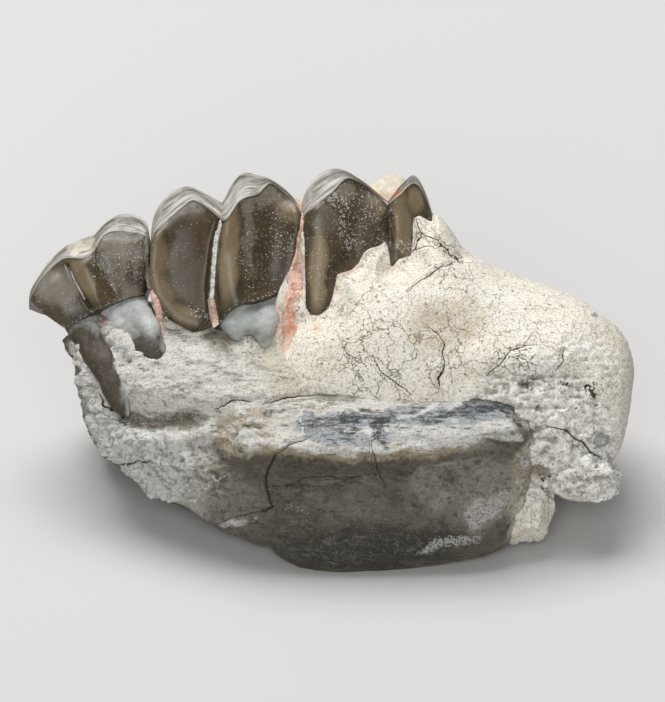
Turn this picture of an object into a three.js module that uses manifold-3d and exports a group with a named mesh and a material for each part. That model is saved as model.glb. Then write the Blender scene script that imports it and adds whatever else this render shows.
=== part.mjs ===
// Fossil oreodont upper jaw: a broken right maxilla with its three molars, the start of the
// cheek arch, and the siltstone that still fills the hollows. Millimetres, +Z up, floor at Z = 0.
//
// Every piece is first shaped in the jaw's own frame: x runs back along the tooth row, y runs
// inward from the cheek, and z runs from the bone up to the crowns. The whole jaw then leans
// back on its underside by LEAN.
import * as THREE from 'three';
import { mergeVertices } from 'three/addons/utils/BufferGeometryUtils.js';
import Module from 'manifold-3d';

// ---- Sizes and places, in the jaw's own frame ----

const LEAN = THREE.MathUtils.degToRad(32);
const PLACE = new THREE.Vector3(-0.31, -24.56, 3); // sets the leaning jaw down, its box centred on Z
const GAP = 0.35; // left between pieces that are cut by each other
const FLOOR_SIZE = 200;
const WELD = 0.001; // vertices closer than this are joined

// A rounded body runs between a top and a bottom rail of [x, z] points. front and back are its
// depths along the way, and lift is how far its underside rises towards the back, for a body of
// about that height. frontPower rounds the slope from the teeth to the cheek, power the rest, and
// ends the two ends.
const MAXILLA = {
  top: [
    [-30.6, 27.2], [-27.3, 29.2], [-22.8, 31.2], [-17.6, 30.2],
    [-12, 30.6], [-6.8, 28], [-1, 24.5], [6, 21],
  ],
  bottom: [
    [-30, 25.4], [-28.8, 20.2], [-27.2, 14.8], [-22.4, 9.9],
    [-17.2, 6.2], [-11, 2.5], [-4.8, 0.8], [4, 3],
  ],
  front: [11, 10, 8.2, 5.8, 3.6, 2, 1.8, 4],
  back: [20, 28, 32, 33.5, 33.5, 32, 29, 24],
  lift: [2, 2, 1, 3, 9, 14, 16, 14],
  height: 22,
  frontPower: 1.9,
  power: 3,
  ends: 7,
  rings: 18,
  sides: 18,
};

const SILT_BLOCK = {
  top: [
    [-8.6, 26], [-3.4, 30.6], [1.8, 37.2], [7, 40.2], [12.4, 39.2],
    [18, 35.6], [24, 33.3], [29.6, 31], [34.2, 27.2], [35.2, 23],
  ],
  bottom: [
    [-8.6, 20], [-3.4, 16], [2.3, 13], [8, 11], [13.8, 9.6],
    [19.6, 9], [25, 8.4], [30, 10.4], [33.6, 13.8], [34.9, 21.4],
  ],
  front: [8.5, 6, 4.4, 3.6, 3.6, 3.8, 4, 5, 7.5, 12],
  back: [26, 30, 32, 32, 31, 30, 28, 25, 21, 15],
  lift: [4, 4, 3, 2, 1, 0, 1, 2, 2, 1],
  height: 22,
  frontPower: 1.9,
  power: 2.9,
  ends: 9,
  rings: 22,
  sides: 20,
};

// Laps up behind the third molar.
const SILT_COLLAR = {
  top: [[2, 36], [5.4, 39.4], [9.4, 41.6], [12.7, 41], [15.6, 37.2], [18.2, 34.4]],
  bottom: [[3, 32], [6.6, 31], [9.6, 30.4], [12.6, 30], [15.6, 30.6], [18, 32]],
  front: [12, 11.2, 10.6, 10.4, 11, 12],
  back: [17, 20, 24, 26, 24, 20],
  lift: [0, 0],
  height: 10,
  frontPower: 2.2,
  power: 2.2,
  ends: 6,
  rings: 10,
  sides: 14,
};

// Wedged between the second and third molars.
const SILT_WEDGE = {
  top: [[-2.6, 40.4], [-2.4, 36], [-2, 32], [-1.6, 29], [-4, 26]],
  bottom: [[-3.6, 40.2], [-4.8, 35.6], [-6.6, 31.6], [-7.4, 28], [-7.8, 25]],
  front: [12, 11.8, 11.6, 10.8, 9.6],
  back: [17, 18, 19, 20, 21],
  lift: [0, 0],
  height: 2,
  frontPower: 2.2,
  power: 2.2,
  ends: 6,
  rings: 10,
  sides: 10,
};

// A cracked-off lump below the block's far end.
const SILT_KNOB = {
  top: [[25.4, 12.8], [27.6, 13.6], [30, 13.8], [32, 13.2], [33.4, 12]],
  bottom: [[25.4, 9], [27.4, 8.2], [30, 8], [32.2, 8.2], [33.6, 9]],
  front: [6, 4.4, 4.2, 4.6, 6],
  back: [15, 16, 16, 15, 13],
  lift: [1, 1],
  height: 5,
  frontPower: 2.6,
  power: 2.6,
  ends: 5,
  rings: 10,
  sides: 12,
};

// Stuck behind the broken end of the arch.
const SILT_FOOT = {
  top: [[19.6, 10.2], [22.5, 11], [25.8, 10.2]],
  bottom: [[19, 2.6], [22.6, 2.6], [25.8, 3.2]],
  front: [6.4, 5.2, 6.2],
  back: [13, 13.6, 13],
  lift: [4, 4],
  height: 8,
  frontPower: 3,
  power: 3,
  ends: 8,
  rings: 8,
  sides: 12,
};

// The arch has an edge, with a hollow cheek face below it and a sloping shelf above it. edge is
// the edge's height, as a part of the arch's height. below and above are [depth, height] points
// around the section, the height as a part of the way from the bottom to the edge, or from the
// edge to the top.
const ARCH = {
  top: [
    [-12.6, 18.6], [-9.2, 19.7], [-4.8, 20.2], [0, 20.7],
    [6, 20.5], [12.5, 20.4], [19.4, 20.5], [24.8, 18],
  ],
  bottom: [
    [-12.2, 13.2], [-9.4, 8], [-6, 2], [-0.8, 0],
    [5.6, 0.1], [12.4, 0.9], [18.6, 2.2], [21.8, 3.6],
  ],
  front: [3, 1, 0.3, 0, 0, 0, 0.5, 3],
  edge: [0.35, 0.58, 0.68, 0.69, 0.68, 0.72, 0.77, 0.9],
  below: [[0, 1], [1, 0.85], [2, 0.6], [3.2, 0.25], [6, 0], [11, 0.2], [13, 0.8]],
  above: [[12, 0.9], [8.4, 1], [5.4, 1], [2.2, 0.6]],
  halfDepth: 7,
  ends: 14,
  rings: 20,
  sides: 20,
};

// An upper molar has two lobes with a fold between them. crest is the top line of each lobe's cheek
// side and base is where its enamel ends, both as [x, z] points. worn is how far the worn band
// reaches down from the crest. relief is what stands out (+) or is sunk (-) on the cheek side, as
// [half width, height, path of x and z]. inner is the tips of the lobes on the palate side. depths
// and widths are measured at the two ends and at the middle fold.
const MOLARS = {
  molar_first: {
    crest: [
      [[-34.9, 31.9], [-33.5, 34.2], [-31.9, 36.1], [-29.9, 37.7], [-27.2, 38.7]],
      [[-27.2, 38.7], [-25.5, 40.2], [-23.9, 40.9], [-22.2, 40.7], [-20.8, 40]],
    ],
    base: [
      [-34.9, 31.4], [-33, 29.7], [-30.6, 28.2], [-28.6, 29.2], [-27, 30.2],
      [-25.4, 30.8], [-23.7, 31.4], [-22.4, 31.8], [-21.3, 32],
    ],
    inner: [[-30, 36], [-22, 38.6]],
    depths: [12.6, 11.6, 12],
    widths: [11, 12, 12.5],
    worn: [0.2, 0.6, 0.7, 1.2, 2, 1, 1.4, 1.8, 1.2],
    relief: [
      [1, 0.9, [[-29.2, 36.4], [-28.2, 34.2], [-26.8, 31.2]]],
      [1.6, 0.45, [[-32.4, 33.8], [-30.4, 30]]],
      [0.6, -0.35, [[-27.2, 36.4], [-25.6, 33.8], [-24.8, 32]]],
      [0.8, 0.3, [[-22.4, 38], [-22.6, 34]]],
    ],
  },
  molar_second: {
    crest: [
      [[-20.7, 39.9], [-19.2, 42.9], [-16.9, 44.2], [-14.7, 43.6], [-12.4, 42.5]],
      [[-12.4, 42.5], [-10.4, 45.6], [-8.2, 45.5], [-5.6, 44.2], [-3.2, 42]],
    ],
    base: [
      [-21, 33.4], [-20.4, 31.4], [-18.4, 28.6], [-15.8, 27.2], [-13.2, 28.2],
      [-11, 30.6], [-8.6, 31.2], [-6.4, 32], [-4.2, 34.4],
    ],
    inner: [[-14.5, 42], [-5, 43.7]],
    depths: [12, 11.2, 12],
    widths: [13, 14, 14],
    worn: [1.5, 2.8, 3, 1.6, 1.4, 3, 2.6, 0.8, 0.3],
    relief: [
      [1.3, 0.7, [[-20, 38.4], [-20.6, 35], [-19.9, 32], [-17.8, 29.4], [-15.6, 28.6]]],
      [0.5, -1.2, [[-12.7, 40.2], [-13.2, 37.9], [-13.4, 35.5], [-13.7, 32.7], [-13.3, 29]]],
      [1.2, 1.2, [[-11.8, 41.2], [-11.5, 38], [-11.3, 34], [-10.8, 31]]],
      [2, -0.8, [[-6.2, 42.5], [-6, 38], [-6.6, 34.4]]],
      [0.7, 0.5, [[-3.9, 41.4], [-3.6, 39.2]]],
    ],
  },
  molar_third: {
    crest: [
      [[-3.3, 42.4], [-1.9, 45], [0.6, 46.4], [3.6, 45.1], [6.8, 42.5]],
      [[6.8, 42.5], [8.4, 44.3], [9.8, 45.2], [11, 43.7], [12.4, 40]],
    ],
    base: [
      [-3.2, 31.8], [-2.6, 29.9], [-1.2, 29.4], [0.6, 31.4], [2.2, 33],
      [4.4, 33.8], [7.4, 34], [10, 34.4], [12.8, 35.6],
    ],
    inner: [[7.3, 45.9], [12, 41]],
    depths: [11.4, 11.8, 15],
    widths: [14, 14, 10],
    worn: [1.4, 2.9, 3, 0.6, 0.3, 0.6, 0.8, 0.4, 0.3],
    relief: [
      [1.6, 1.4, [[-1.2, 41.6], [-1, 38], [-1.3, 34], [-1.6, 31.4]]],
      [2, -0.8, [[4, 44], [3.8, 40], [3.2, 37]]],
      [1.1, 1.1, [[8.2, 42.4], [8.3, 39], [8, 36]]],
    ],
  },
};
const CROWN = {
  innerBase: 30, // how high the enamel starts on the palate side
  innerTaper: 1.6, // how much shorter the palate side is than the cheek side, at each end
  foldDrop: 2.4, // how far the palate side's middle fold lies below the cheek side's
  endDrop: 3.4, // the same at both ends, where
  endHeight: 1.5, // the palate side is at least this high
  cuspLean: 2.2, // how far a lobe's tip stands inward of the folds
  basin: 3, // the depth of the hollow between a lobe's two tips
  ends: 24,
  rings: 22,
  sides: 18,
};

// Roots that show on the cheek side, as [x, y, z, radius] points.
const ROOTS = {
  molar_first: [
    [
      [-29.9, 13.6, 30.2, 1.7], [-29, 12.8, 28.6, 1.75], [-27.7, 11.2, 26.4, 1.75], [-26.4, 9.5, 24.2, 1.65],
      [-25.5, 8.8, 22.6, 1.45], [-24.7, 8.2, 20.9, 1.45], [-24, 7.7, 19.2, 1.1], [-23.3, 7.4, 17.8, 0.6],
    ],
    [
      [-24.9, 15, 32.6, 3.2], [-24.2, 14.3, 30.9, 3.1], [-23.2, 12.9, 29.2, 2.9], [-22, 11.2, 27.6, 2.4],
      [-20.9, 9.7, 26, 1.9], [-19.9, 8.4, 24.5, 1.5], [-19.1, 7.2, 23, 0.8],
    ],
  ],
  molar_second: [
    [[-11.6, 13.6, 33.4, 2.6], [-11.1, 13.3, 31.2, 2.7], [-10.3, 12.7, 28.8, 2.5], [-9.3, 11.6, 26.4, 1.7]],
    [[-8, 13.4, 34, 2.2], [-7.6, 12.8, 31, 2.2], [-7.6, 12, 28, 1.8], [-7.9, 11.2, 25.6, 0.9]],
  ],
  molar_third: [],
};
const ROOT = { ends: 6, rings: 8, sides: 8 };

// Where bone and siltstone meet the teeth, as [x, z] points from front to back. lip is how far they
// stand out there, fade how far below the line they still follow the teeth, behind how far they
// are drawn in above it, and ends over what length this starts and stops.
const GUM = {
  line: [
    [-19.4, 31], [-18, 28.8], [-15.9, 27.5], [-13.2, 28.5], [-10.6, 27.2], [-7.6, 25.8], [-6.5, 30],
    [-4.9, 34.4], [-3.2, 40.2], [-2.75, 30.4], [-1.2, 29.6], [0, 31], [1.2, 34.4], [3, 35.4],
    [4.6, 37.4], [6.5, 38.3], [7.4, 35.6], [9.2, 36.5], [9.6, 40.9], [11.4, 40.6], [13, 39.4],
  ],
  lip: 0.8,
  fade: 4,
  behind: 2,
  ends: 1.6,
};

const BONE = { color: '#a39a86', roughness: 0.7, metalness: 0 };
const SILTSTONE = { color: '#d8cdb6', roughness: 0.9, metalness: 0 };
const ENAMEL = { color: '#4a4337', roughness: 0.25, metalness: 0 };

// ---- Shape helpers ----

const wasm = await Module();
wasm.setup();

// A smooth value that passes through evenly spaced values (Catmull-Rom), a from 0 to 1.
function along(values, a) {
  const last = values.length - 1;
  const i = Math.min(Math.floor(a * last), last - 1);
  const u = a * last - i;
  const [p0, p1, p2, p3] = [i - 1, i, i + 1, i + 2].map((k) => values[THREE.MathUtils.clamp(k, 0, last)]);
  const bend = 2 * p0 - 5 * p1 + 4 * p2 - p3;
  const twist = 3 * p1 - p0 - 3 * p2 + p3;
  return 0.5 * (2 * p1 + (p2 - p0) * u + bend * u ** 2 + twist * u ** 3);
}

// The same for points of any size, such as [x, z] or [x, y, z].
const alongPoints = (points, a) => points[0].map((_, k) => along(points.map((p) => p[k]), a));

// 1 along the middle of a body and 0 at both ends; a higher power gives blunter ends.
const endShrink = (a, power) => Math.sqrt(Math.max(0, 1 - Math.abs(2 * a - 1) ** power));

const bell = (value) => Math.exp(-(value ** 2));

// What ridges (+) and grooves (-), each [half width, height, path], add up to at [x, z].
function reliefAt(strokes, x, z) {
  const place = new THREE.Vector3(x, 0, z);
  const corner = ([cx, cz]) => new THREE.Vector3(cx, 0, cz);
  return strokes.reduce((sum, [half, height, path]) => {
    const far = path.slice(1).map((point, k) => {
      const line = new THREE.Line3(corner(path[k]), corner(point));
      return line.closestPointToPoint(place, true, new THREE.Vector3()).distanceTo(place);
    });
    return sum + height * bell(Math.min(...far) / half);
  }, 0);
}

const signedPower = (value, power) => Math.sign(value) * Math.abs(value) ** power;

function solidFrom(positions, indices) {
  return new wasm.Manifold(new wasm.Mesh({
    numProp: 3,
    vertProperties: new Float32Array(positions),
    triVerts: new Uint32Array(indices),
  }));
}

function geometryOf(solid) {
  const { vertProperties, triVerts } = solid.getMesh();
  const geometry = new THREE.BufferGeometry();
  geometry.setAttribute('position', new THREE.BufferAttribute(vertProperties, 3));
  geometry.setIndex(new THREE.BufferAttribute(triVerts, 1));
  geometry.computeVertexNormals();
  return geometry;
}

// A closed skin of rings. point(a, q) gives [x, y, z], with a from one end to the other and q
// once around. The first and last ring close to a point.
function skin({ rings, sides }, point) {
  const positions = [...point(0, 0)];
  const indices = [];
  for (let i = 1; i < rings; i++) {
    const a = 0.5 - 0.5 * Math.cos((Math.PI * i) / rings);
    for (let j = 0; j < sides; j++) positions.push(...point(a, j / sides));
  }
  positions.push(...point(1, 0));
  const end = positions.length / 3 - 1;
  const at = (i, j) => 1 + (i - 1) * sides + (j % sides);
  for (let j = 0; j < sides; j++) {
    indices.push(0, at(1, j + 1), at(1, j));
    indices.push(end, at(rings - 1, j), at(rings - 1, j + 1));
    for (let i = 1; i < rings - 1; i++) {
      indices.push(at(i, j), at(i, j + 1), at(i + 1, j));
      indices.push(at(i, j + 1), at(i + 1, j + 1), at(i + 1, j));
    }
  }
  const solid = solidFrom(positions, indices);
  return solid.volume() > 0 ? solid : solidFrom(positions, indices.reverse());
}

// ---- Teeth ----

// The top line of the cheek side: smooth along each lobe, with a sharp fold between the two.
function crest([near, far], a) {
  return a < 0.5 ? alongPoints(near, 2 * a) : alongPoints(far, 2 * a - 1);
}

// The palate side's tips, each rounded, over folds that are lower than on the cheek side.
function innerCrest({ crest: [near, far], base, inner }, a) {
  const ends = [near[0], base[0], far.at(-1), base.at(-1)];
  const [start, end] = [ends.slice(0, 2), ends.slice(2)].map(([[x, z], [, zBase]]) => (
    [x + 2, Math.max(z - CROWN.endDrop, zBase + CROWN.endHeight)]
  ));
  const folds = [start, [far[0][0] + 2, far[0][1] - CROWN.foldDrop], end];
  const lobe = Math.min(Math.floor(2 * a), 1);
  const t = 2 * a - lobe;
  const [[x0, z0], [x1, z1], [x2, z2]] = [folds[lobe], inner[lobe], folds[lobe + 1]];
  const x = (1 - t) * (1 - 2 * t) * x0 + 4 * t * (1 - t) * x1 + t * (2 * t - 1) * x2;
  return [x, z0 + (z2 - z0) * t + (z1 - (z0 + z2) / 2) * Math.sin(Math.PI * t) ** 0.75];
}

// A crown, as rings across the tooth row. Each ring climbs the cheek side to the edge of the worn
// band, crosses the cheek crest, the basin and the palate crest, and comes back under the crown.
function crown(shape) {
  return skin(CROWN, (a, q) => {
    const bulge = Math.abs(Math.sin(2 * Math.PI * a)) ** 0.8; // 0 at the folds, 1 in mid-lobe
    const y = along(shape.depths, a);
    const yCrest = y + 0.8 + CROWN.cuspLean * bulge;
    const yInner = y + along(shape.widths, a) * (0.62 + 0.28 * bulge);
    const [xb, zb] = alongPoints(shape.base, a);
    const [xc, zc] = crest(shape.crest, a);
    const [xi, zi] = innerCrest(shape, a);
    const xInner = xb + CROWN.innerTaper * (1 - 2 * a);
    const zInner = THREE.MathUtils.lerp(zb, CROWN.innerBase, 0.7);
    const band = along(shape.worn, a);
    const edge = 1 - band / Math.hypot(xc - xb, zc - zb);
    const yEdge = yCrest - 0.3 - 0.6 * band;
    const wall = (t, depth) => [xb + (xc - xb) * t, depth, zb + (zc - zb) * t];
    const basin = [(xc + xi) / 2, (yCrest + yInner) / 2, Math.min(zc, zi) - 1 - CROWN.basin * bulge];
    const underside = [xInner + 0.8, (y + yInner) / 2, Math.min(zb, zInner) - 1];
    const ring = [
      wall(0, y),
      wall(0.25, y - 0.3 + 0.3 * bulge),
      wall(0.5, y - 0.4 + 0.6 * bulge),
      wall(0.5 + (edge - 0.5) * 0.6, y - 0.3 + (yEdge - y) * 0.55),
      wall(edge, yEdge),
      wall((1 + edge) / 2, (yEdge + yCrest) / 2 + 0.15),
      wall(1, yCrest),
      basin,
      [xi, yInner, zi],
      [(xi + xInner) / 2 + 1, yInner + 1.4, (zi + zb) / 2],
      [xInner + 1.6, yInner + 0.6, zInner],
      underside,
      wall(0, y),
    ];
    const middle = basin.map((value, k) => (value + underside[k]) / 2);
    const shrink = endShrink(a, CROWN.ends);
    const [px, py, pz] = alongPoints(ring, q).map((value, k) => middle[k] + (value - middle[k]) * shrink);
    const cheek = q < 4.5 / 12 ? 1 : 0;
    return [px, py - cheek * reliefAt(shape.relief, px, pz), pz];
  });
}

// A root: a round tube along a path that keeps to the cheek side, closed at both ends.
function root(path) {
  return skin(ROOT, (a, q) => {
    const [x, y, z, radius] = alongPoints(path, a);
    const [xNext, , zNext] = alongPoints(path, Math.min(a + 0.01, 1));
    const [xLast, , zLast] = alongPoints(path, Math.max(a - 0.01, 0));
    const across = new THREE.Vector2(zNext - zLast, xLast - xNext).normalize();
    const reach = radius * endShrink(a, ROOT.ends);
    const side = Math.cos(2 * Math.PI * q) * reach;
    return [x + across.x * side, y + Math.sin(2 * Math.PI * q) * reach, z + across.y * side];
  });
}

// How deep the cheek side of the teeth is at [x, z], near its lower edge.
function cheekDepth(x, z) {
  const { base, depths, relief } = Object.values(MOLARS).findLast((tooth) => x > tooth.base[0][0]);
  const a = THREE.MathUtils.mapLinear(x, base[0][0], base.at(-1)[0], 0, 1);
  return along(depths, THREE.MathUtils.clamp(a, 0, 1)) - 0.3 - reliefAt(relief, x, z);
}

// ---- Bone and siltstone ----

// Draws a point of the bone or the siltstone to the teeth: just in front of them below the gum
// line, and in behind them above it.
function hugTeeth([x, y, z]) {
  const next = GUM.line.findIndex(([xLine]) => xLine > x);
  if (next < 1) return [x, y, z];
  const fromEnd = Math.min(x - GUM.line[0][0], GUM.line.at(-1)[0] - x);
  const [[x0, z0], [x1, z1]] = [GUM.line[next - 1], GUM.line[next]];
  const below = THREE.MathUtils.mapLinear(x, x0, x1, z0, z1) - z;
  const depth = cheekDepth(x, z) - GUM.lip + (below < 0 ? GUM.lip + GUM.behind : 0);
  const near = 1 - THREE.MathUtils.smoothstep(below, 0.3, GUM.fade);
  const share = y < depth + 5 ? near * THREE.MathUtils.smoothstep(fromEnd, 0, GUM.ends) : 0;
  return [x, THREE.MathUtils.lerp(y, depth, share), z];
}

// A body between two rails. section(a, q) gives its ring as a depth y and a height f, from 0 on
// the bottom rail to 1 on the top rail, and the depth yMid that the ring shrinks to at the ends.
// settle moves its points once they are placed.
function railBody(shape, section, settle = (point) => point) {
  return skin(shape, (a, q) => {
    const [xTop, zTop] = alongPoints(shape.top, a);
    const [xBottom, zBottom] = alongPoints(shape.bottom, a);
    const { y, f, yMid } = section(shape, a, q);
    const shrink = endShrink(a, shape.ends);
    const height = 0.5 + (f - 0.5) * shrink;
    const depth = yMid + (y - yMid) * shrink;
    return settle([xBottom + (xTop - xBottom) * height, depth, zBottom + (zTop - zBottom) * height]);
  });
}

// A superellipse, v upward and w inward, with a power of its own on the upper front.
function roundSection({ front, back, lift, height, frontPower, power }, a, q) {
  const [up, inward] = [Math.cos(2 * Math.PI * q), Math.sin(2 * Math.PI * q)];
  const used = up > 0 && inward < 0 ? frontPower : power;
  const v = signedPower(up, 2 / used);
  const w = signedPower(inward, 2 / used);
  const [yFront, yBack] = [along(front, a), along(back, a)];
  const rise = (along(lift, a) / height) * ((1 + w) / 2) ** 2;
  return {
    y: yFront + ((yBack - yFront) * (1 + w)) / 2,
    f: (1 + v) / 2 + ((1 - v) / 2) * rise,
    yMid: (yFront + yBack) / 2,
  };
}

// A smooth ring through the arch's section points, which starts and ends at its edge.
function archSection({ front, edge, below, above, halfDepth }, a, q) {
  const level = along(edge, a);
  const ring = [
    ...below.map(([depth, part]) => [depth, part * level]),
    ...above.map(([depth, part]) => [depth, level + part * (1 - level)]),
    [0, level],
  ];
  const [depth, f] = alongPoints(ring, q);
  return { y: along(front, a) + depth, f, yMid: along(front, a) + halfDepth };
}

// ---- Fitting the pieces together ----

// The same solid with its skin moved out by the gap, to cut its neighbours with.
function grown(solid) {
  const geometry = geometryOf(solid);
  const normals = geometry.getAttribute('normal').array;
  const positions = geometry.getAttribute('position').array;
  return solidFrom(positions.map((value, k) => value + normals[k] * GAP), geometry.getIndex().array);
}

const largest = (solid) => solid.decompose().sort((one, two) => two.volume() - one.volume())[0];

// A solid cut by its neighbours, of which only the largest piece is kept.
const fitted = (solid, ...neighbours) => largest(
  neighbours.reduce((rest, other) => rest.subtract(grown(other).add(other)), solid),
);

const stance = new THREE.Matrix4().makeRotationX(-LEAN).setPosition(PLACE);

// The floor, as a slab in the jaw's own frame.
function floorSlab() {
  const slab = new THREE.BoxGeometry(FLOOR_SIZE, FLOOR_SIZE, FLOOR_SIZE);
  slab.deleteAttribute('normal');
  slab.deleteAttribute('uv');
  slab.translate(0, 0, -FLOOR_SIZE / 2).applyMatrix4(stance.clone().invert());
  const merged = mergeVertices(slab);
  return solidFrom(merged.getAttribute('position').array, merged.getIndex().array);
}

const arch = railBody(ARCH, archSection);
const molars = {};
for (const [name, shape] of Object.entries(MOLARS)) {
  molars[name] = ROOTS[name].reduce((tooth, path) => tooth.add(root(path)), crown(shape));
}
molars.molar_second = fitted(molars.molar_second, molars.molar_first);
molars.molar_third = fitted(molars.molar_third, molars.molar_second);
const teeth = Object.values(molars);
const maxilla = fitted(railBody(MAXILLA, roundSection, hugTeeth), arch, ...teeth);
const foot = fitted(railBody(SILT_FOOT, roundSection), arch);
const knob = railBody(SILT_KNOB, roundSection);
const silt = [SILT_BLOCK, SILT_COLLAR, SILT_WEDGE].map((shape) => railBody(shape, roundSection, hugTeeth));
const siltBody = silt.reduce((sum, body) => sum.add(body));
const block = fitted(siltBody, arch, maxilla, foot, knob, ...teeth);

const floor = floorSlab();
const jaw = new THREE.Group();

// Sets a solid down on the floor and adds it, without the splinters that welding cuts off.
function addPiece(name, solid, look) {
  const placed = geometryOf(solid.subtract(floor)).applyMatrix4(stance);
  placed.deleteAttribute('normal');
  const welded = mergeVertices(placed, WELD);
  const piece = largest(solidFrom(welded.getAttribute('position').array, welded.getIndex().array));
  const mesh = new THREE.Mesh(geometryOf(piece), new THREE.MeshStandardMaterial(look));
  mesh.name = name;
  jaw.add(mesh);
}

addPiece('maxilla', maxilla, BONE);
addPiece('zygomatic_arch', arch, BONE);
addPiece('sediment_block', block, SILTSTONE);
addPiece('sediment_knob', knob, SILTSTONE);
addPiece('sediment_foot', foot, SILTSTONE);
for (const [name, tooth] of Object.entries(molars)) addPiece(name, tooth, ENAMEL);

export default jaw;
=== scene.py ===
import math

import bpy
import numpy as np
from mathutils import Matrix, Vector


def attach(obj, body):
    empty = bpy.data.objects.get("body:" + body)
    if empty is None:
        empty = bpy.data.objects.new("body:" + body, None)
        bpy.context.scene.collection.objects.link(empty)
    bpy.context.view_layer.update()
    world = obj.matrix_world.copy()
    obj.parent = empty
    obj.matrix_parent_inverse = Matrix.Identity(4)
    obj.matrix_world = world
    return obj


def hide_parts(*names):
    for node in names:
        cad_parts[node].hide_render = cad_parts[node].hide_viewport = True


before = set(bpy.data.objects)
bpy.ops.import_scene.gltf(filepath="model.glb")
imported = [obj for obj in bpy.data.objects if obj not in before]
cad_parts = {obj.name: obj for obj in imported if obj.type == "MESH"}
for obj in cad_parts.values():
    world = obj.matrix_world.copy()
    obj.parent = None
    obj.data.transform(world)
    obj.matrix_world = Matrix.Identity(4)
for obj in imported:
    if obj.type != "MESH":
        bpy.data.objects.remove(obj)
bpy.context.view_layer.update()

# Every shape is worked out in millimetres in the jaw's own frame: x runs back along the tooth
# row, y runs inward from the cheek, z runs from the bone up to the crowns. The jaw then leans
# back and is set down on its underside.
stance = {"lean": 32, "place": (-0.31, -24.56, 3)}
detail = {"voxel": 0.25, "relaxRounds": 6}


def toWorld(points):
    # turn by the lean about x, move to the place, millimetres to metres
    lean = math.radians(stance["lean"])
    x, y, z = np.moveaxis(np.asarray(points, float), -1, 0)
    turned = np.stack([x, y * math.cos(lean) + z * math.sin(lean),
                       z * math.cos(lean) - y * math.sin(lean)], -1)
    return (turned + stance["place"]) / 1000


def blendFour(values, u):
    # the Catmull-Rom cubic, which goes from the second to the third of four values as u goes from 0
    # to 1, with the slope of the chord between the neighbours at each
    p0, p1, p2, p3 = values
    bend = 2 * p0 - 5 * p1 + 4 * p2 - p3
    twist = 3 * p1 - p0 - 3 * p2 + p3
    return 0.5 * (2 * p1 + (p2 - p0) * u + bend * u ** 2 + twist * u ** 3)


def along(values, a):
    # smooth curve through evenly spaced values with clamped ends, a from 0 to 1
    values = np.asarray(values, float)
    a = np.asarray(a, float)
    last = len(values) - 1
    i = np.clip(np.floor(a * last), 0, last - 1).astype(int)
    u = a * last - i
    if values.ndim > 1:
        u = u[..., None]
    return blendFour([values[np.clip(i + k, 0, last)] for k in (-1, 0, 1, 2)], u)


def ringCurve(controls, q):
    # the same curve through a list of controls, each one number or one for each ring, at every q
    last = len(controls) - 1
    i = np.clip(np.floor(q * last), 0, last - 1).astype(int)
    rings = max(np.size(c) for c in controls)
    stack = np.stack([np.broadcast_to(np.ravel(c), rings) for c in controls])
    return blendFour([stack[np.clip(i + k, 0, last)].T for k in (-1, 0, 1, 2)], q * last - i)


def smoothStep(low, high, value):
    # 0 up to low and 1 from high on; between them three t squared less two t cubed
    t = np.clip((value - low) / (high - low), 0, 1)
    return t * t * (3 - 2 * t)


def bell(value):
    # 1 at zero, and e to the power of minus the square away from it
    return np.exp(-value ** 2)


def signedPower(value, power):
    # the power of the value's size, with the value's own sign
    return np.sign(value) * np.abs(value) ** power


def endShrink(a, power):
    # 1 along the middle and 0 at both ends: the root of 1 less the power of the way from the middle
    return np.sqrt(np.clip(1 - np.abs(2 * a - 1) ** power, 0, 1))


def linear(hexColor):
    # sRGB hex to linear RGBA
    parts = [int(hexColor[k:k + 2], 16) / 255 for k in (1, 3, 5)]
    return [p / 12.92 if p <= 0.04045 else ((p + 0.055) / 1.055) ** 2.4 for p in parts] + [1]


def latticeValue(ix, iy, iz, seed):
    # one repeatable value from 0 to 1 for each lattice corner
    h = (ix * 374761393 + iy * 668265263 + iz * 1440662683 + seed * 974711) & 0xffffffff
    h = ((h ^ (h >> 13)) * 1274126177) & 0xffffffff
    h = ((h ^ (h >> 15)) * 668265263) & 0xffffffff
    return ((h ^ (h >> 16)) & 0xffffff) / 0xffffff


def noise(points, size, seed=0):
    # value noise from -1 to 1: lattice values blended by a quintic step; size in mm, one or three
    scaled = points / np.asarray(size, float)
    corner = np.floor(scaled).astype(np.int64)
    t = scaled - corner
    t = t ** 3 * (t * (t * 6 - 15) + 10)
    total = 0
    for step in np.ndindex(2, 2, 2):
        shareX, shareY, shareZ = np.abs(1 - np.array(step) - t).T
        total = total + shareX * shareY * shareZ * latticeValue(*(corner + step).T, seed)
    return total * 2 - 1


def fractal(points, size, octaves=4, seed=0, gain=0.5):
    # noise at half the size and a part of the strength, again and again
    size = np.asarray(size, float)
    total, strength, norm = 0, 1.0, 0.0
    for k in range(octaves):
        total = total + strength * noise(points, size / 2 ** k, seed + 17 * k)
        norm += strength
        strength *= gain
    return total / norm


def lineDistance(x, z, path):
    # signed distance to a path of [x, z] points, and how far along it from 0 to 1
    path = np.asarray(path, float)
    best = np.full(x.shape, 99.0)
    where = np.zeros(x.shape)
    for k in range(len(path) - 1):
        (x0, z0), (x1, z1) = path[k], path[k + 1]
        dx, dz = x1 - x0, z1 - z0
        t = np.clip(((x - x0) * dx + (z - z0) * dz) / (dx * dx + dz * dz), 0, 1)
        far = np.hypot(x - x0 - t * dx, z - z0 - t * dz)
        side = np.where(dx * (z - z0) - dz * (x - x0) < 0, -1.0, 1.0)
        near = far < np.abs(best)
        best = np.where(near, far * side, best)
        where = np.where(near, (k + t) / (len(path) - 1), where)
    return best, where


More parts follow.
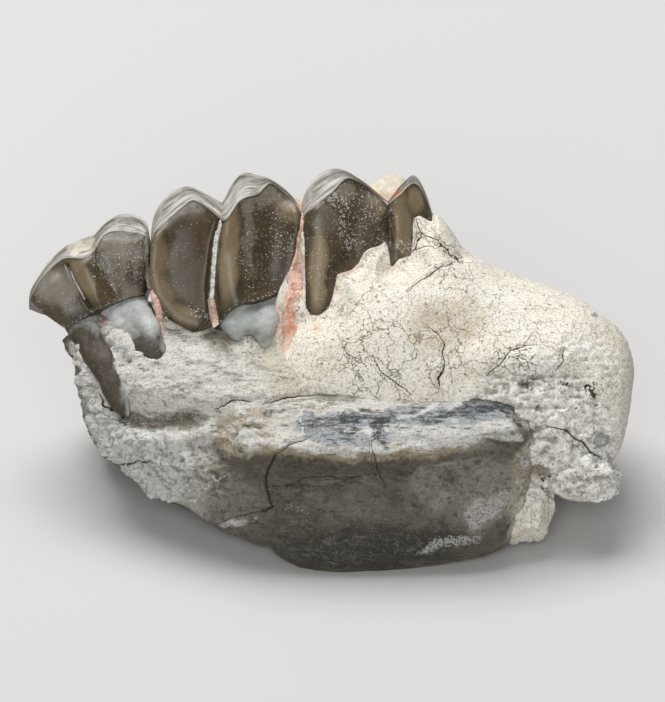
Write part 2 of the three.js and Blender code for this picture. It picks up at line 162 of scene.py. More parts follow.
def patch(x, z, spot):
    # 1 in the middle of an ellipse and 0 outside: [x, z, radius x, radius z, turn, strength]
    cx, cz, rx, rz, turn, strength = spot
    c, s = math.cos(math.radians(turn)), math.sin(math.radians(turn))
    u = ((x - cx) * c + (z - cz) * s) / rx
    v = ((z - cz) * c - (x - cx) * s) / rz
    return strength * smoothStep(1.25, 0.55, np.hypot(u, v))


def reliefOf(x, z, forms):
    # ridges (+) and grooves (-), each [half width, height, path of x and z]: bells across their
    # paths, added up
    return sum(height * bell(lineDistance(x, z, path)[0] / half) for half, height, path in forms)


def patches(x, z, spots):
    # the strongest of several patches at each place
    total = np.zeros(x.shape)
    for spot in spots:
        total = np.maximum(total, patch(x, z, spot))
    return total


def strokes(x, z, lines):
    # 1 along the middle of each stroke and 0 beside it: [half width, strength, path of x and z]
    return np.max([strength * smoothStep(1.3, 0.4, np.abs(lineDistance(x, z, path)[0]) / half)
                   for half, strength, path in lines], 0)


def ragged(points, reach, size, seed):
    # x and z moved about by noise, which gives patches and strokes torn outlines
    return (points[:, 0] + reach * fractal(points, size, 4, seed, 0.6),
            points[:, 2] + reach * fractal(points, size, 4, seed + 5, 0.6))


def chisel(points, planes):
    # cuts the shape back to flat planes, each [a point on it, the direction it faces]
    for spot, facing in planes:
        facing = np.array(facing) / np.linalg.norm(facing)
        over = np.maximum((points - spot) @ facing, 0)
        points = points - over[:, None] * facing
    return points


def closeGrid(grid, poles):
    # vertices and faces of a closed skin: grid is (rings, sides, 3), with one pole at each end
    rings, sides = grid.shape[:2]
    points = np.concatenate([poles[:1], grid.reshape(-1, 3), poles[1:]])
    i, j = np.meshgrid(np.arange(rings - 1), np.arange(sides), indexing="ij")
    k = (j + 1) % sides
    quads = 1 + np.stack([i * sides + j, i * sides + k, (i + 1) * sides + k, (i + 1) * sides + j], -1)
    j = np.arange(sides)
    k = (j + 1) % sides
    last = 1 + (rings - 1) * sides
    caps = [np.stack([np.zeros(sides, int), 1 + k, 1 + j], -1),
            np.stack([np.full(sides, len(points) - 1), last + j, last + k], -1)]
    return points, quads.reshape(-1, 4).tolist() + caps[0].tolist() + caps[1].tolist()


def outward(points, faces):
    # turns all faces round if they point inward: the triple products of each face's first three
    # corners then add up to less than zero
    a, b, c = [points[[face[k] for face in faces]] for k in (0, 1, 2)]
    volume = np.einsum("ij,ij->i", a, np.cross(b, c)).sum()
    return faces if volume > 0 else [face[::-1] for face in faces]


def ringPlaces(shape):
    # where the rings of a skin lie, from 0 to 1, closer together near both ends: half of 1 less the
    # cosine of even steps
    return 0.5 - 0.5 * np.cos(np.pi * np.arange(1, shape["rings"]) / shape["rings"])


def skin(shape, surface):
    # a closed skin from surface(a, q), where a runs from end to end and q once around
    q = np.arange(shape["sides"]) / shape["sides"]
    grid = surface(ringPlaces(shape)[:, None], q[None, :])
    poles = surface(np.array([[0.0], [1.0]]), np.zeros((1, 1)))[:, 0]
    points, faces = closeGrid(grid, poles)
    return points, outward(points, faces)


def merge(surfaces):
    # several surfaces as one list of points and one of faces
    faces, start = [], 0
    for points, corners in surfaces:
        faces += [[corner + start for corner in face] for face in corners]
        start += len(points)
    return np.concatenate([points for points, corners in surfaces]), faces


def addObject(name, data):
    # shows a mesh, a camera or a light in the scene
    made = bpy.data.objects.new(name, data)
    bpy.context.scene.collection.objects.link(made)
    return made


def unite(surfaces, voxel):
    # the outer skin of overlapping closed surfaces, as one even mesh of squares
    mesh = bpy.data.meshes.new("union")
    points, faces = merge(surfaces)
    mesh.from_pydata(points, [], faces)
    temp = addObject("union", mesh)
    remesh = temp.modifiers.new("remesh", "REMESH")
    remesh.mode = "VOXEL"
    remesh.voxel_size = voxel
    made = temp.evaluated_get(bpy.context.evaluated_depsgraph_get()).to_mesh()
    united = np.zeros(len(made.vertices) * 3, np.float32)
    made.vertices.foreach_get("co", united)
    loops = np.zeros(len(made.loops), np.int32)
    made.loops.foreach_get("vertex_index", loops)
    bpy.data.objects.remove(temp)
    bpy.data.meshes.remove(mesh)
    print("skin of", len(united) // 3, "points")
    return united.reshape(-1, 3).astype(float), loops.reshape(-1, 4)


def relax(points, quads, rounds, weight=1.0):
    # moves each point towards the mean of its neighbours, round after round
    near = np.concatenate([quads[:, [k, (k + 1) % 4]] for k in range(4)])
    here, there = np.concatenate([near, near[:, ::-1]]).T
    count = np.bincount(here, minlength=len(points))[:, None]
    for turn in range(rounds):
        push = 0.5 if turn % 2 == 0 else -0.47  # the push back out keeps the shape from shrinking
        mean = np.stack([np.bincount(here, points[there, k], len(points)) for k in range(3)], 1) / count
        points = points + push * np.reshape(weight, (-1, 1)) * (mean - points)
    return points


def asQuads(faces):
    # faces as one array, where a triangle names its first corner twice
    return np.array([face if len(face) == 4 else face + [face[0]] for face in faces])


def normalsOf(points, quads):
    # at each point, the sum of the cross products of the diagonals of the faces around it
    a, b, c, d = [points[quads[:, k]] for k in range(4)]
    across = np.cross(c - a, d - b)
    total = np.stack([sum(np.bincount(quads[:, k], across[:, axis], len(points)) for k in range(4))
                      for axis in range(3)], 1)
    return total / np.maximum(np.linalg.norm(total, axis=1, keepdims=True), 1e-9)


def addPiece(name, points, faces, masks, material, nodes):
    # a finished piece, standing for its CAD nodes: places in the mesh, and masks as attributes, where
    # one that a piece lacks reads as 0 in its material
    world = toWorld(points)
    world[:, 2] = np.maximum(world[:, 2], 0)  # nothing reaches under the floor
    mesh = bpy.data.meshes.new(name)
    mesh.from_pydata(world, [], faces if isinstance(faces, list) else faces.tolist())
    mesh.polygons.foreach_set("use_smooth", np.ones(len(mesh.polygons), bool))
    for key, values in masks.items():
        mesh.attributes.new(key, "FLOAT", "POINT").data.foreach_set("value", values.astype(np.float32))
    mesh.materials.append(material)
    mesh.update()
    piece = addObject(name, mesh)
    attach(piece, "root")
    if nodes:
        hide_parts(*nodes)
    print(name, len(points), "points")


def railBody(shape, section):
    # rings between a bottom and a top rail that shrink to nothing at both ends. section(shape, a, q)
    # gives the depth y, the height f from rail to rail, and the depth that the ring closes to
    def surface(a, q):
        xTop, zTop = np.moveaxis(along(shape["top"], a), -1, 0)
        xBottom, zBottom = np.moveaxis(along(shape["bottom"], a), -1, 0)
        y, f, yMid = section(shape, a, q)
        shrink = endShrink(a, shape["ends"])
        height = 0.5 + (f - 0.5) * shrink
        depth = yMid + (y - yMid) * shrink
        return np.stack([xBottom + (xTop - xBottom) * height, depth,
                         zBottom + (zTop - zBottom) * height], -1)
    return skin(shape, surface)


def roundSection(shape, a, q):
    # a superellipse, v upward and w inward, with a power of its own on the upper front; its
    # underside rises towards the back
    up, inward = np.cos(2 * np.pi * q), np.sin(2 * np.pi * q)
    power = np.where((up > 0) & (inward < 0), shape["frontPower"], shape["power"])
    v, w = signedPower(up, 2 / power), signedPower(inward, 2 / power)
    yFront, yBack = along(shape["front"], a), along(shape["back"], a)
    rise = along(shape["lift"], a) / shape["height"] * ((1 + w) / 2) ** 2
    return (yFront + (yBack - yFront) * (1 + w) / 2,
            (1 + v) / 2 + (1 - v) / 2 * rise, (yFront + yBack) / 2)


def archSection(shape, a, q):
    # a smooth ring through the section's points, which starts and ends at the arch's edge
    level = along(shape["edge"], a)
    depths = [d for d, part in shape["below"]] + [d for d, part in shape["above"]] + [0]
    heights = [part * level for d, part in shape["below"]]
    heights += [level + part * (1 - level) for d, part in shape["above"]] + [level]
    front = along(shape["front"], a)
    return (front + ringCurve([np.array([float(d)]) for d in depths], q[0]),
            ringCurve(heights, q[0]), front + shape["halfDepth"])


# The cheek side of the molars. crest: the top line of each lobe, fold to fold; base: where the
# enamel ends; both [x, z]. worn: how far the worn band reaches down from the crest. relief: what
# stands out (+) or is sunk (-) on the cheek side, as [half width, height, path of x and z]
molars = {
    "molar_first": {
        "piece": "firstMolar",
        "crest": [[[-34.9, 31.9], [-33.5, 34.2], [-31.9, 36.1], [-29.9, 37.7], [-27.2, 38.7]],
                  [[-27.2, 38.7], [-25.5, 40.2], [-23.9, 40.9], [-22.2, 40.7], [-20.8, 40]]],
        "base": [[-34.9, 31.4], [-33, 29.7], [-30.6, 28.2], [-28.6, 29.2], [-27, 30.2],
                 [-25.4, 30.8], [-23.7, 31.4], [-22.4, 31.8], [-21.3, 32]],
        "inner": [[-30, 36], [-22, 38.6]],
        "depths": [12.6, 11.6, 12], "widths": [11, 12, 12.5],
        "worn": [0.2, 0.5, 0.6, 0.7, 0.7, 0.9, 1.6, 2.2, 1.7, 1, 1.1, 1.4, 1.7, 1.8, 1.7, 1.5, 1],
        "relief": [[1.3, 0.8, [[-29.2, 36.4], [-28.2, 34.2], [-26.8, 31.2]]],
                   [0.22, -0.6, [[-30.3, 35.3], [-29.8, 34.2], [-28.7, 32.1], [-27.7, 30.5]]],
                   [1.6, 0.45, [[-32.4, 33.8], [-30.4, 30]]],
                   [0.6, -0.35, [[-27.2, 36.4], [-25.6, 33.8], [-24.8, 32]]],
                   [0.8, 0.3, [[-22.4, 38], [-22.6, 34]]]],
    },
    "molar_second": {
        "piece": "secondMolar",
        "crest": [[[-20.7, 39.9], [-19.2, 42.9], [-16.9, 44.2], [-14.7, 43.6], [-12.4, 42.5]],
                  [[-12.4, 42.5], [-10.4, 45.6], [-8.2, 45.5], [-5.6, 44.2], [-2.9, 41.9]]],
        "base": [[-21, 33.4], [-20.4, 31.4], [-18.4, 28.6], [-15.8, 27.2], [-13.2, 28.2],
                 [-11, 30.6], [-8.6, 31.2], [-6.2, 32.2], [-3.7, 35]],
        "inner": [[-14.5, 42], [-5, 43.7]],
        "depths": [12, 11.2, 12], "widths": [13, 14, 14],
        "worn": [1.5, 2.4, 3.2, 3, 2.2, 1.2, 1.2, 1.6, 2.1, 3.2, 3, 2.6, 1.9, 0.2, 0.25, 0.3, 0.3],
        "relief": [[1.3, 0.7, [[-20, 38.4], [-20.6, 35], [-19.9, 32], [-17.8, 29.4], [-15.6, 28.6]]],
                   [0.5, -1.2, [[-12.7, 40.2], [-13.2, 37.9], [-13.4, 35.5], [-13.7, 32.7], [-13.3, 29]]],
                   [1.6, 1.1, [[-11.8, 41.2], [-11.5, 38], [-11.3, 34], [-10.8, 31]]],
                   [0.9, 0.35, [[-9.4, 42.6], [-9.3, 38], [-9.2, 34], [-8.8, 31.6]]],
                   [2, -0.8, [[-6.2, 42.5], [-6, 38], [-6.6, 34.4]]],
                   [0.7, 0.5, [[-3.9, 41.4], [-3.6, 39.2]]]],
    },
    "molar_third": {
        "piece": "thirdMolar",
        "crest": [[[-3.4, 42.2], [-1.9, 45], [0.6, 46.4], [3.6, 45.1], [6.8, 42.5]],
                  [[6.8, 42.5], [8.4, 44.3], [9.8, 45.2], [11, 43.7], [12.4, 40]]],
        "base": [[-3.2, 31.8], [-2.7, 29.9], [-1.2, 29.4], [0.6, 31.4], [2.2, 33],
                 [4.4, 33.8], [7.4, 34], [10, 34.4], [12.8, 35.6]],
        "inner": [[7.3, 45.9], [12, 41]],
        "depths": [11.4, 11.8, 15], "widths": [14, 14, 10],
        "worn": [1.4, 2.4, 3.3, 3.3, 2.6, 0.6, 0.25, 0.25, 0.3, 0.6, 0.9, 0.6, 0.4, 0.3, 0.3, 0.3, 0.3],
        "relief": [[2, 1.3, [[-1.2, 41.6], [-1, 38], [-1.3, 34], [-1.6, 31.4]]],
                   [2, -0.8, [[4, 44], [3.8, 40], [3.2, 37]]],
                   [0.4, -0.5, [[6.9, 41], [7, 38.4]]],
                   [1.4, 1, [[8.2, 42.4], [8.3, 39], [8, 36]]]],
    },
}
# innerBase: how high the enamel starts on the palate side. innerTaper: how much shorter that side is
# at each end. foldDrop, endDrop: how far its folds lie below the cheek side's, in the middle and at
# the ends, where it is at least endHeight high. cuspLean: how far the tips stand inward of the
# folds. basin: how deep each lobe's hollow is
crowns = {"innerBase": 30, "innerTaper": 1.6, "foldDrop": 2.4, "endDrop": 3.4, "endHeight": 1.5,
          "cuspLean": 2.2, "basin": 3, "ends": 24, "rings": 280, "sides": 260}


def crest(tooth, a):
    # a smooth line through the points of each lobe, with a sharp fold between the two
    near, far = [along(lobe, np.clip(2 * a - k, 0, 1)) for k, lobe in enumerate(tooth["crest"])]
    return np.moveaxis(np.where((a < 0.5)[..., None], near, far), -1, 0)


def innerCrest(tooth, a):
    # the palate side's tips, each rounded, over lower folds
    near, far = tooth["crest"]
    start, end = [[x + 2, max(z - crowns["endDrop"], base[1] + crowns["endHeight"])]
                  for (x, z), base in ((near[0], tooth["base"][0]), (far[-1], tooth["base"][-1]))]
    folds = np.array([start, [far[0][0] + 2, far[0][1] - crowns["foldDrop"]], end])
    lobe = np.clip(np.floor(2 * a), 0, 1).astype(int)
    t = 2 * a - lobe
    x0, z0 = np.moveaxis(folds[lobe], -1, 0)
    x1, z1 = np.moveaxis(np.array(tooth["inner"])[lobe], -1, 0)
    x2, z2 = np.moveaxis(folds[lobe + 1], -1, 0)
    x = (1 - t) * (1 - 2 * t) * x0 + 4 * t * (1 - t) * x1 + t * (2 * t - 1) * x2
    return x, z0 + (z2 - z0) * t + (z1 - (z0 + z2) / 2) * np.sin(np.pi * t) ** 0.75


def crownSurface(tooth, a, q):
    # each ring climbs the cheek side to the enamel's edge, crosses the worn band to the crest, then
    # the basin and the palate crest, and comes back under the crown
    a = a[:, 0]
    lobes = np.abs(np.sin(2 * np.pi * a)) ** 0.8
    y = along(tooth["depths"], a)
    yCrest = y + 0.8 + crowns["cuspLean"] * lobes
    yInner = y + along(tooth["widths"], a) * (0.62 + 0.28 * lobes)
    xb, zb = np.moveaxis(along(tooth["base"], a), -1, 0)
    xc, zc = crest(tooth, a)
    xi, zi = innerCrest(tooth, a)
    xInner = xb + crowns["innerTaper"] * (1 - 2 * a)
    zInner = zb + (crowns["innerBase"] - zb) * 0.7
    band = along(tooth["worn"], a)
    edge = 1 - band / np.hypot(xc - xb, zc - zb)
    yEdge = yCrest - 0.3 - 0.6 * band

    def wall(t, depth):
        return [xb + (xc - xb) * t, depth, zb + (zc - zb) * t]

    basin = [(xc + xi) / 2, (yCrest + yInner) / 2, np.minimum(zc, zi) - 1 - crowns["basin"] * lobes]
    underside = [xInner + 0.8, (y + yInner) / 2, np.minimum(zb, zInner) - 1]
    controls = [
        wall(0, y),
        wall(0.25, y - 0.3 + 0.3 * lobes),
        wall(0.5, y - 0.4 + 0.6 * lobes),
        wall(0.5 + (edge - 0.5) * 0.6, y - 0.3 + (yEdge - y) * 0.55),
        wall(edge, yEdge),
        wall(edge + (1 - edge) * 0.5, (yEdge + yCrest) / 2 + 0.15),
        wall(1, yCrest),
        basin,
        [xi, yInner, zi],
        [(xi + xInner) / 2 + 1, yInner + 1.4, (zi + zb) / 2],
        [xInner + 1.6, yInner + 0.6, zInner],
        underside,
        wall(0, y),
    ]
    middle = [(xb + xc) / 2, (basin[1] + underside[1]) / 2, (basin[2] + underside[2]) / 2]
    shrink = endShrink(a, crowns["ends"])[:, None]
    ring = [ringCurve([c[k] for c in controls], q[0]) for k in range(3)]
    x, y, z = [m[:, None] + (r - m[:, None]) * shrink for m, r in zip(middle, ring)]
    span = 12 * q
    cheek = smoothStep(5.6, 4.2, span) + smoothStep(11, 12, span)
    return np.stack([x, y - cheek * reliefOf(x, z, tooth["relief"]), z], -1)


# The grid over x and z that keeps the depth of the cheek side, in mm: how far apart its points are,
# how far it reaches past the teeth, and in how many steps the depth is carried on past their edges
frontGrid = {"step": 0.25, "before": 8, "after": 4, "carried": 40}
unknown = 99.0


def frontOf(surfaces):
    # the depth of the foremost skin at each point of the grid; outside, the mean of the neighbours
    # that are known, step by step
    step = frontGrid["step"]
    points = np.concatenate(surfaces)
    places = points[:, [0, 2]]
    low = places.min(0) - frontGrid["before"]
    depth = np.full(((places.max(0) - low + frontGrid["after"]) / step).astype(int), unknown)
    i, k = ((places - low) / step).astype(int).T
    np.minimum.at(depth, (i, k), points[:, 1])
    for turn in range(frontGrid["carried"]):
        known = depth < unknown
        around = [np.roll(depth * known, shift, axis) for axis in (0, 1) for shift in (-1, 1)]
        count = sum(np.roll(known, shift, axis) for axis in (0, 1) for shift in (-1, 1))
        depth = np.where(known | (count == 0), depth, sum(around) / np.maximum(count, 1))
    return low, depth


def frontAt(front, x, z):
    # that depth at any place, blended in straight lines between the grid's points
    low, depth = front
    step = frontGrid["step"]
    u = np.clip((x - low[0]) / step - 0.5, 0, depth.shape[0] - 1.01)
    v = np.clip((z - low[1]) / step - 0.5, 0, depth.shape[1] - 1.01)
    i, k = np.floor(u).astype(int), np.floor(v).astype(int)
    u, v = u - i, v - k
    near = depth[i, k] * (1 - v) + depth[i, k + 1] * v
    far = depth[i + 1, k] * (1 - v) + depth[i + 1, k + 1] * v
    return near * (1 - u) + far * u


# Roots and necks of the molars, each a tube along [x, y of its front, z, radius] points, flatter from
# front to back than it is wide. neckFrom: the height at which its colour turns to the pale neck's
tubes = {"ends": 6, "power": 2.5, "flat": 0.7, "rings": 140, "sides": 72}
roots = {
    "rootFront": {"neckFrom": 27.8,
                  "path": [[-29.9, 12.5, 30.4, 1.7], [-29, 11.9, 28.6, 1.75], [-27.7, 10.5, 26.4, 1.75],
                           [-26.4, 8.6, 24.2, 1.65], [-25.5, 7.8, 22.6, 1.45], [-24.7, 7.2, 20.9, 1.45],
                           [-24, 7.05, 19.2, 1.1], [-23.3, 7.3, 17.8, 0.6]]},
    "rootBack": {"neckFrom": 27.2,
                 "path": [[-25.4, 13.4, 34.4, 2.6], [-24.8, 12.9, 32.6, 3.1], [-24.2, 12.1, 30.9, 3],
                          [-23.2, 10.7, 29.2, 2.8], [-22, 9.3, 27.6, 2.4], [-20.9, 8, 26, 1.9],
                          [-19.9, 7.5, 24.5, 1.5], [-19.1, 8.4, 23, 0.8]]},
    "neck": {"neckFrom": 24,
             "path": [[-11.4, 13, 34, 2], [-11, 12.2, 31.8, 2.4], [-10.4, 11, 29, 2.5],
                      [-9.6, 11.3, 26.4, 1.7]]},
    "neckChip": {"neckFrom": 24,
                 "path": [[-7.4, 13.4, 33.4, 1.4], [-7.4, 12.7, 31.6, 1.9], [-7.5, 11.3, 29.6, 1.9],
                          [-7.7, 11, 27.6, 1.5], [-7.9, 11.4, 25.8, 0.8]]},
}


def tube(path):
    # a skin around the path, a superellipse in section, closed at both ends
    def surface(a, q):
        x, front, z, radius = np.moveaxis(along(path, a), -1, 0)
        ahead = along(path, np.minimum(a + 0.01, 1)) - along(path, np.maximum(a - 0.01, 0))
        length = np.hypot(ahead[..., 0], ahead[..., 2])
        shrink = endShrink(a, tubes["ends"])
        side = signedPower(np.cos(2 * np.pi * q), 2 / tubes["power"]) * radius * shrink
        depth = signedPower(np.sin(2 * np.pi * q), 2 / tubes["power"]) * radius * shrink
        return np.stack([x + ahead[..., 2] / length * side, front + tubes["flat"] * (radius + depth),
                         z - ahead[..., 0] / length * side], -1)
    return skin(tubes, surface)


# Where the matrix meets the teeth, as [x, z] points from front to back. lip: how far it stands out
# there; fade: how far below the line it still follows the teeth; behind: how deep it is above it;
# reach: how deep behind the teeth it is moved; start, end: the places along x at which the teeth's
# hold on it begins and ends
gum = {
    "line": [[-19.4, 31], [-18.8, 29.2], [-17, 28.1], [-15.9, 27.5], [-14.6, 27.85], [-13.2, 28.5],
             [-11.8, 28.1], [-10.6, 27.2], [-9, 27.2], [-7.6, 25.8], [-6.9, 27], [-6.5, 30], [-5.9, 32.6],
             [-4.9, 34.4], [-4.1, 36.6], [-3.9, 37.6], [-3.2, 40.2], [-2.9, 38.4], [-2.8, 34], [-2.75, 30.4],
             [-2.2, 29.6], [-1.2, 29.6], [-0.2, 30.4], [0.3, 32], [0.8, 34.2], [1.4, 34.5], [2.4, 34.8],
             [3.2, 35.6], [3.8, 36.8], [4.6, 37.4], [5.7, 37.7], [6.5, 38.3], [6.9, 37.2], [7.2, 35.3],
             [7.8, 36.1], [9.2, 36.5], [9.45, 38.5], [9.6, 40.9], [10.4, 41.2], [11.4, 40.6], [12.3, 39.9]],
    "lip": 0.25, "fade": 3.2, "behind": 1.2, "reach": 5, "start": [-21, -19.4], "end": [12.6, 11.4],
}


def hugTeeth(points, front):
    # brings the matrix to the teeth: just proud of them below the line, and behind them above it
    x, y, z = points.T
    line = np.array(gum["line"])
    far = np.abs(lineDistance(x, z, line)[0])
    below = np.where(z < np.interp(x, line[:, 0], line[:, 1]), far, -far)
    target = frontAt(front, x, z) - gum["lip"]
    cheek = (y < target + gum["reach"]) * smoothStep(*gum["start"], x) * smoothStep(*gum["end"], x)
    weight = cheek * smoothStep(gum["fade"], 0.3, below)
    hidden = smoothStep(0.2, -0.2, below) * (gum["lip"] + gum["behind"])
    y = y + weight * (target + hidden - y)
    return np.stack([x, y, z], -1)


def crackMarks(x, z, front, cracks):
    # each crack is [half width, depth, path]: how deep it cuts, the signed distance to it in half
    # widths, and where it applies; cracks taper to their ends by the root of a sine
    cut = np.zeros(x.shape)
    side = np.full(x.shape, 8.0)
    near = np.zeros(x.shape)
    for half, depth, path in cracks:
        far, where = lineDistance(x, z, path)
        width = half * (0.2 + 0.4 * np.sqrt(np.sin(np.pi * np.clip(where, 0, 1))))
        cut = np.maximum(cut, depth * bell(far / (width + 0.2)))
        side = np.where(np.abs(far / width) < np.abs(side), far / width, side)
        near = np.maximum(near, smoothStep(1.3, 0.7, np.abs(far)))
    return cut * front, {"crackSide": np.clip(side, -8, 8), "crackNear": near * front}


def addNode(tree, kind, settings=None, links=None, out=0):
    # one node with its settings and links; keys are properties or sockets; gives an output socket
    made = tree.nodes.new("ShaderNode" + kind)
    for key, value in (settings or {}).items():
        if isinstance(key, str) and hasattr(made, key):
            setattr(made, key, value)
        else:
            made.inputs[key].default_value = value
    for key, socket in (links or {}).items():
        tree.links.new(socket, made.inputs[key])
    return made.outputs[out] if made.outputs else None


def perMetre(size):
    # a texture's scale for a feature of that many millimetres
    return 1000 / size


def newMaterial(name, build):
    # a material whose nodes build(tree) makes; build gives the shader
    material = bpy.data.materials.new(name)
    material.use_nodes = True
    tree = material.node_tree
    tree.nodes.clear()
    addNode(tree, "OutputMaterial", None, {"Surface": build(tree)})
    print("material", name)
    return material


# Colours, the sizes of the patterns in mm and how the surface shines; grainDepth in mm
siltLook = {
    "pale": "#f1ece1", "deep": "#ded6c7", "tan": "#d9ccae", "grey": "#cfccc2", "grain": "#9a8f78",
    # rough: the white of the rough face; on its raised crumbs it is stronger, a painted highlight
    "speck": "#4a4236", "white": "#f4efe4", "shade": "#ab9c80", "rough": "#f0efea",
    # hollow: the colour of painted shade in the sunk places of the rough face
    "hollow": "#8f8a7e", "crack": "#40382c", "hair": "#6f6350", "pink": "#d59c8a",
    # pit: near-black, painted shade in holes and in the crack between the first and second molars
    "orange": "#cb8450", "shadedPit": "#2e2b26", "chip": "#8d9794", "shadedRecess": "#8f8370",
    # recess, on the line above: painted shade in the recess by the knob and the foot
    "toneSize": 5.5, "blotchSize": 1.7, "grainSize": 0.26, "speckSize": 0.42, "holeSize": 0.4,
    "crackSize": 3.4, "grainDepth": 0.14, "roughness": 0.92, "specular": 0.3,
}


def siltstone(tree):
    # siltstone, broken and weathered: fine cemented grains give a pale, dead-matt face with dark
    # specks and hairline cracks; the real grains are too fine to show, so they are drawn coarser,
    # a quarter of a millimetre across
    look = siltLook
    place = addNode(tree, "TexCoord", out="Object")
    tone, blotch, grain, speck = [
        addNode(tree, "TexNoise", {"Scale": perMetre(look[name]), "Detail": octaves, "Roughness": roughness},
                {"Vector": place})
        for name, octaves, roughness in (("toneSize", 5.0, 0.62), ("blotchSize", 5.0, 0.65),
                                         ("grainSize", 2.0, 0.8), ("speckSize", 2.0, 0.6))]
    crackScale = perMetre(look["crackSize"])
    bent = addNode(tree, "TexNoise", {"Scale": 2 * crackScale, "Detail": 4.0}, {"Vector": place}, out="Color")
    bent = addNode(tree, "VectorMath", {"operation": "SCALE", "Scale": 1 / crackScale}, {0: bent})
    bent = addNode(tree, "VectorMath", {"operation": "ADD"}, {0: place, 1: bent})
    seam = addNode(tree, "TexVoronoi", {"feature": "DISTANCE_TO_EDGE", "Scale": crackScale}, {"Vector": bent})
    seam = addNode(tree, "MapRange", {"From Min": 0.018, "From Max": 0.005}, {"Value": seam})
    masks = {name: addNode(tree, "Attribute", {"attribute_name": name}, out="Fac")
             for name in ("rough", "hollow", "shade", "pink", "orange", "shadedPit", "pitted", "shadedRecess", "chip",
                          "hairline", "crackSide", "crackNear")}
    torn = {name: addNode(tree, "Math", {"operation": "ADD"}, {0: masks[name], 1: blotch})
            for name in ("shade", "pink", "orange", "chip", "hairline")}
    seam = addNode(tree, "Math", {"operation": "MULTIPLY"}, {0: seam, 1: torn["hairline"]})
    cracks = crackShareFrom(tree, masks, grain)
    # tiny holes drawn as dark dots, with no hole cut: painted shade
    holeScale = perMetre(look["holeSize"])
    shadedHoles = addNode(tree, "TexNoise", {"Scale": holeScale, "Detail": 2.0}, {"Vector": place})
    shadedHoles = addNode(tree, "Math", {"operation": "MULTIPLY"}, {0: shadedHoles, 1: masks["pitted"]})
    layers = (("deep", tone, 0.36, 0.66, 1.0), ("tan", blotch, 0.48, 0.7, 0.4),
              # the rough layer is the rough face's own white, with painted highlights on its raised crumbs
              ("grey", tone, 0.48, 0.3, 0.5), ("rough", masks["rough"], 0.0, 1.0, 0.85),
              ("shade", torn["shade"], 0.6, 1.2, 0.7), ("pink", torn["pink"], 0.7, 1.1, 0.8),
              ("orange", torn["orange"], 0.75, 1.15, 0.75), ("chip", torn["chip"], 0.9, 1.2, 0.8),
              ("white", grain, 0.44, 0.3, 0.7), ("grain", grain, 0.5, 0.68, 0.75),
              # the hollow layer is painted shade
              ("speck", speck, 0.61, 0.7, 0.75), ("hollow", masks["hollow"], 0.0, 1.0, 0.9),
              # the recess layer is painted shade
              ("shadedRecess", masks["shadedRecess"], 0.0, 0.8, 0.9), ("hair", seam, 0.6, 0.85, 0.75),
              # the pit layers are painted shade in holes
              ("crack", cracks, 0.0, 1.0, 1.0), ("shadedPit", masks["shadedPit"], 0.0, 1.0, 1.0),
              ("shadedPit", shadedHoles, 0.52, 0.57, 0.95))
    colour = paintLayers(tree, look, "pale", layers)
    height = grain
    for line in (cracks, seam):
        height = addNode(tree, "Math", {"operation": "SUBTRACT"}, {0: height, 1: line})
    normal = addNode(tree, "Bump", {"Distance": look["grainDepth"] / 1000}, {"Height": height})
    return addNode(tree, "BsdfPrincipled",
                   {"Roughness": look["roughness"], "Specular IOR Level": look["specular"]},
                   {"Base Color": colour, "Normal": normal})


def paintLayers(tree, look, first, layers):
    # colours laid over the first one: each layer is its colour, the value it follows, the values at
    # which it starts and is full, and its greatest share
    below, links = {6: linear(look[first])}, {}
    for name, source, low, high, most in layers:
        links[0] = addNode(tree, "MapRange", {"From Min": low, "From Max": high, "To Max": most},
                           {"Value": source})
        colour = addNode(tree, "Mix", {"data_type": "RGBA", 7: linear(look[name]), **below}, links, out=2)
        below, links = {}, {6: colour}
    return colour


def crackShareFrom(tree, masks, wobble):
    # 1 inside a crack: its signed distance in half widths, shaken by the grain
    shaken = addNode(tree, "Math", {"operation": "MULTIPLY_ADD", 1: 3.0, 2: -1.5}, {0: wobble})
    side = addNode(tree, "Math", {"operation": "ADD"}, {0: masks["crackSide"], 1: shaken})
    far = addNode(tree, "Math", {"operation": "ABSOLUTE"}, {0: side})
    inside = addNode(tree, "MapRange", {"From Min": 1.2, "From Max": 0.6}, {"Value": far})
    return addNode(tree, "Math", {"operation": "MULTIPLY"}, {0: inside, 1: masks["crackNear"]})


# Colours, the sizes of the patterns in mm and how the surface shines; bumpDepth in mm
boneLook = {
    # low: near-black, painted shade
    "dark": "#6d6757", "darker": "#38332a", "light": "#dfdacf", "white": "#e4e2db", "low": "#302c23",
    # brown: the bone's own brown streaks, and painted shade under the rim and in hollows
    "middle": "#a39e90", "tan": "#b3a284", "brown": "#5f5443", "cream": "#d2cbb9",
    # hollow: the colour of painted shade in the bone's sunk places
    "stain": "#2a2e33", "bluish": "#8d959c", "fleck": "#dddcd8", "hollow": "#6b655a",
    "crack": "#2f2a23", "vein": "#e4e4e0", "pink": "#c99d8e",
    "mottleSize": 3.0, "patchSize": 1.0, "fibreSize": 0.42, "fineSize": 0.24,
    "bumpDepth": 0.4, "ior": 1.6, "wholeRoughness": 0.42, "weatheredRoughness": 0.8,
}


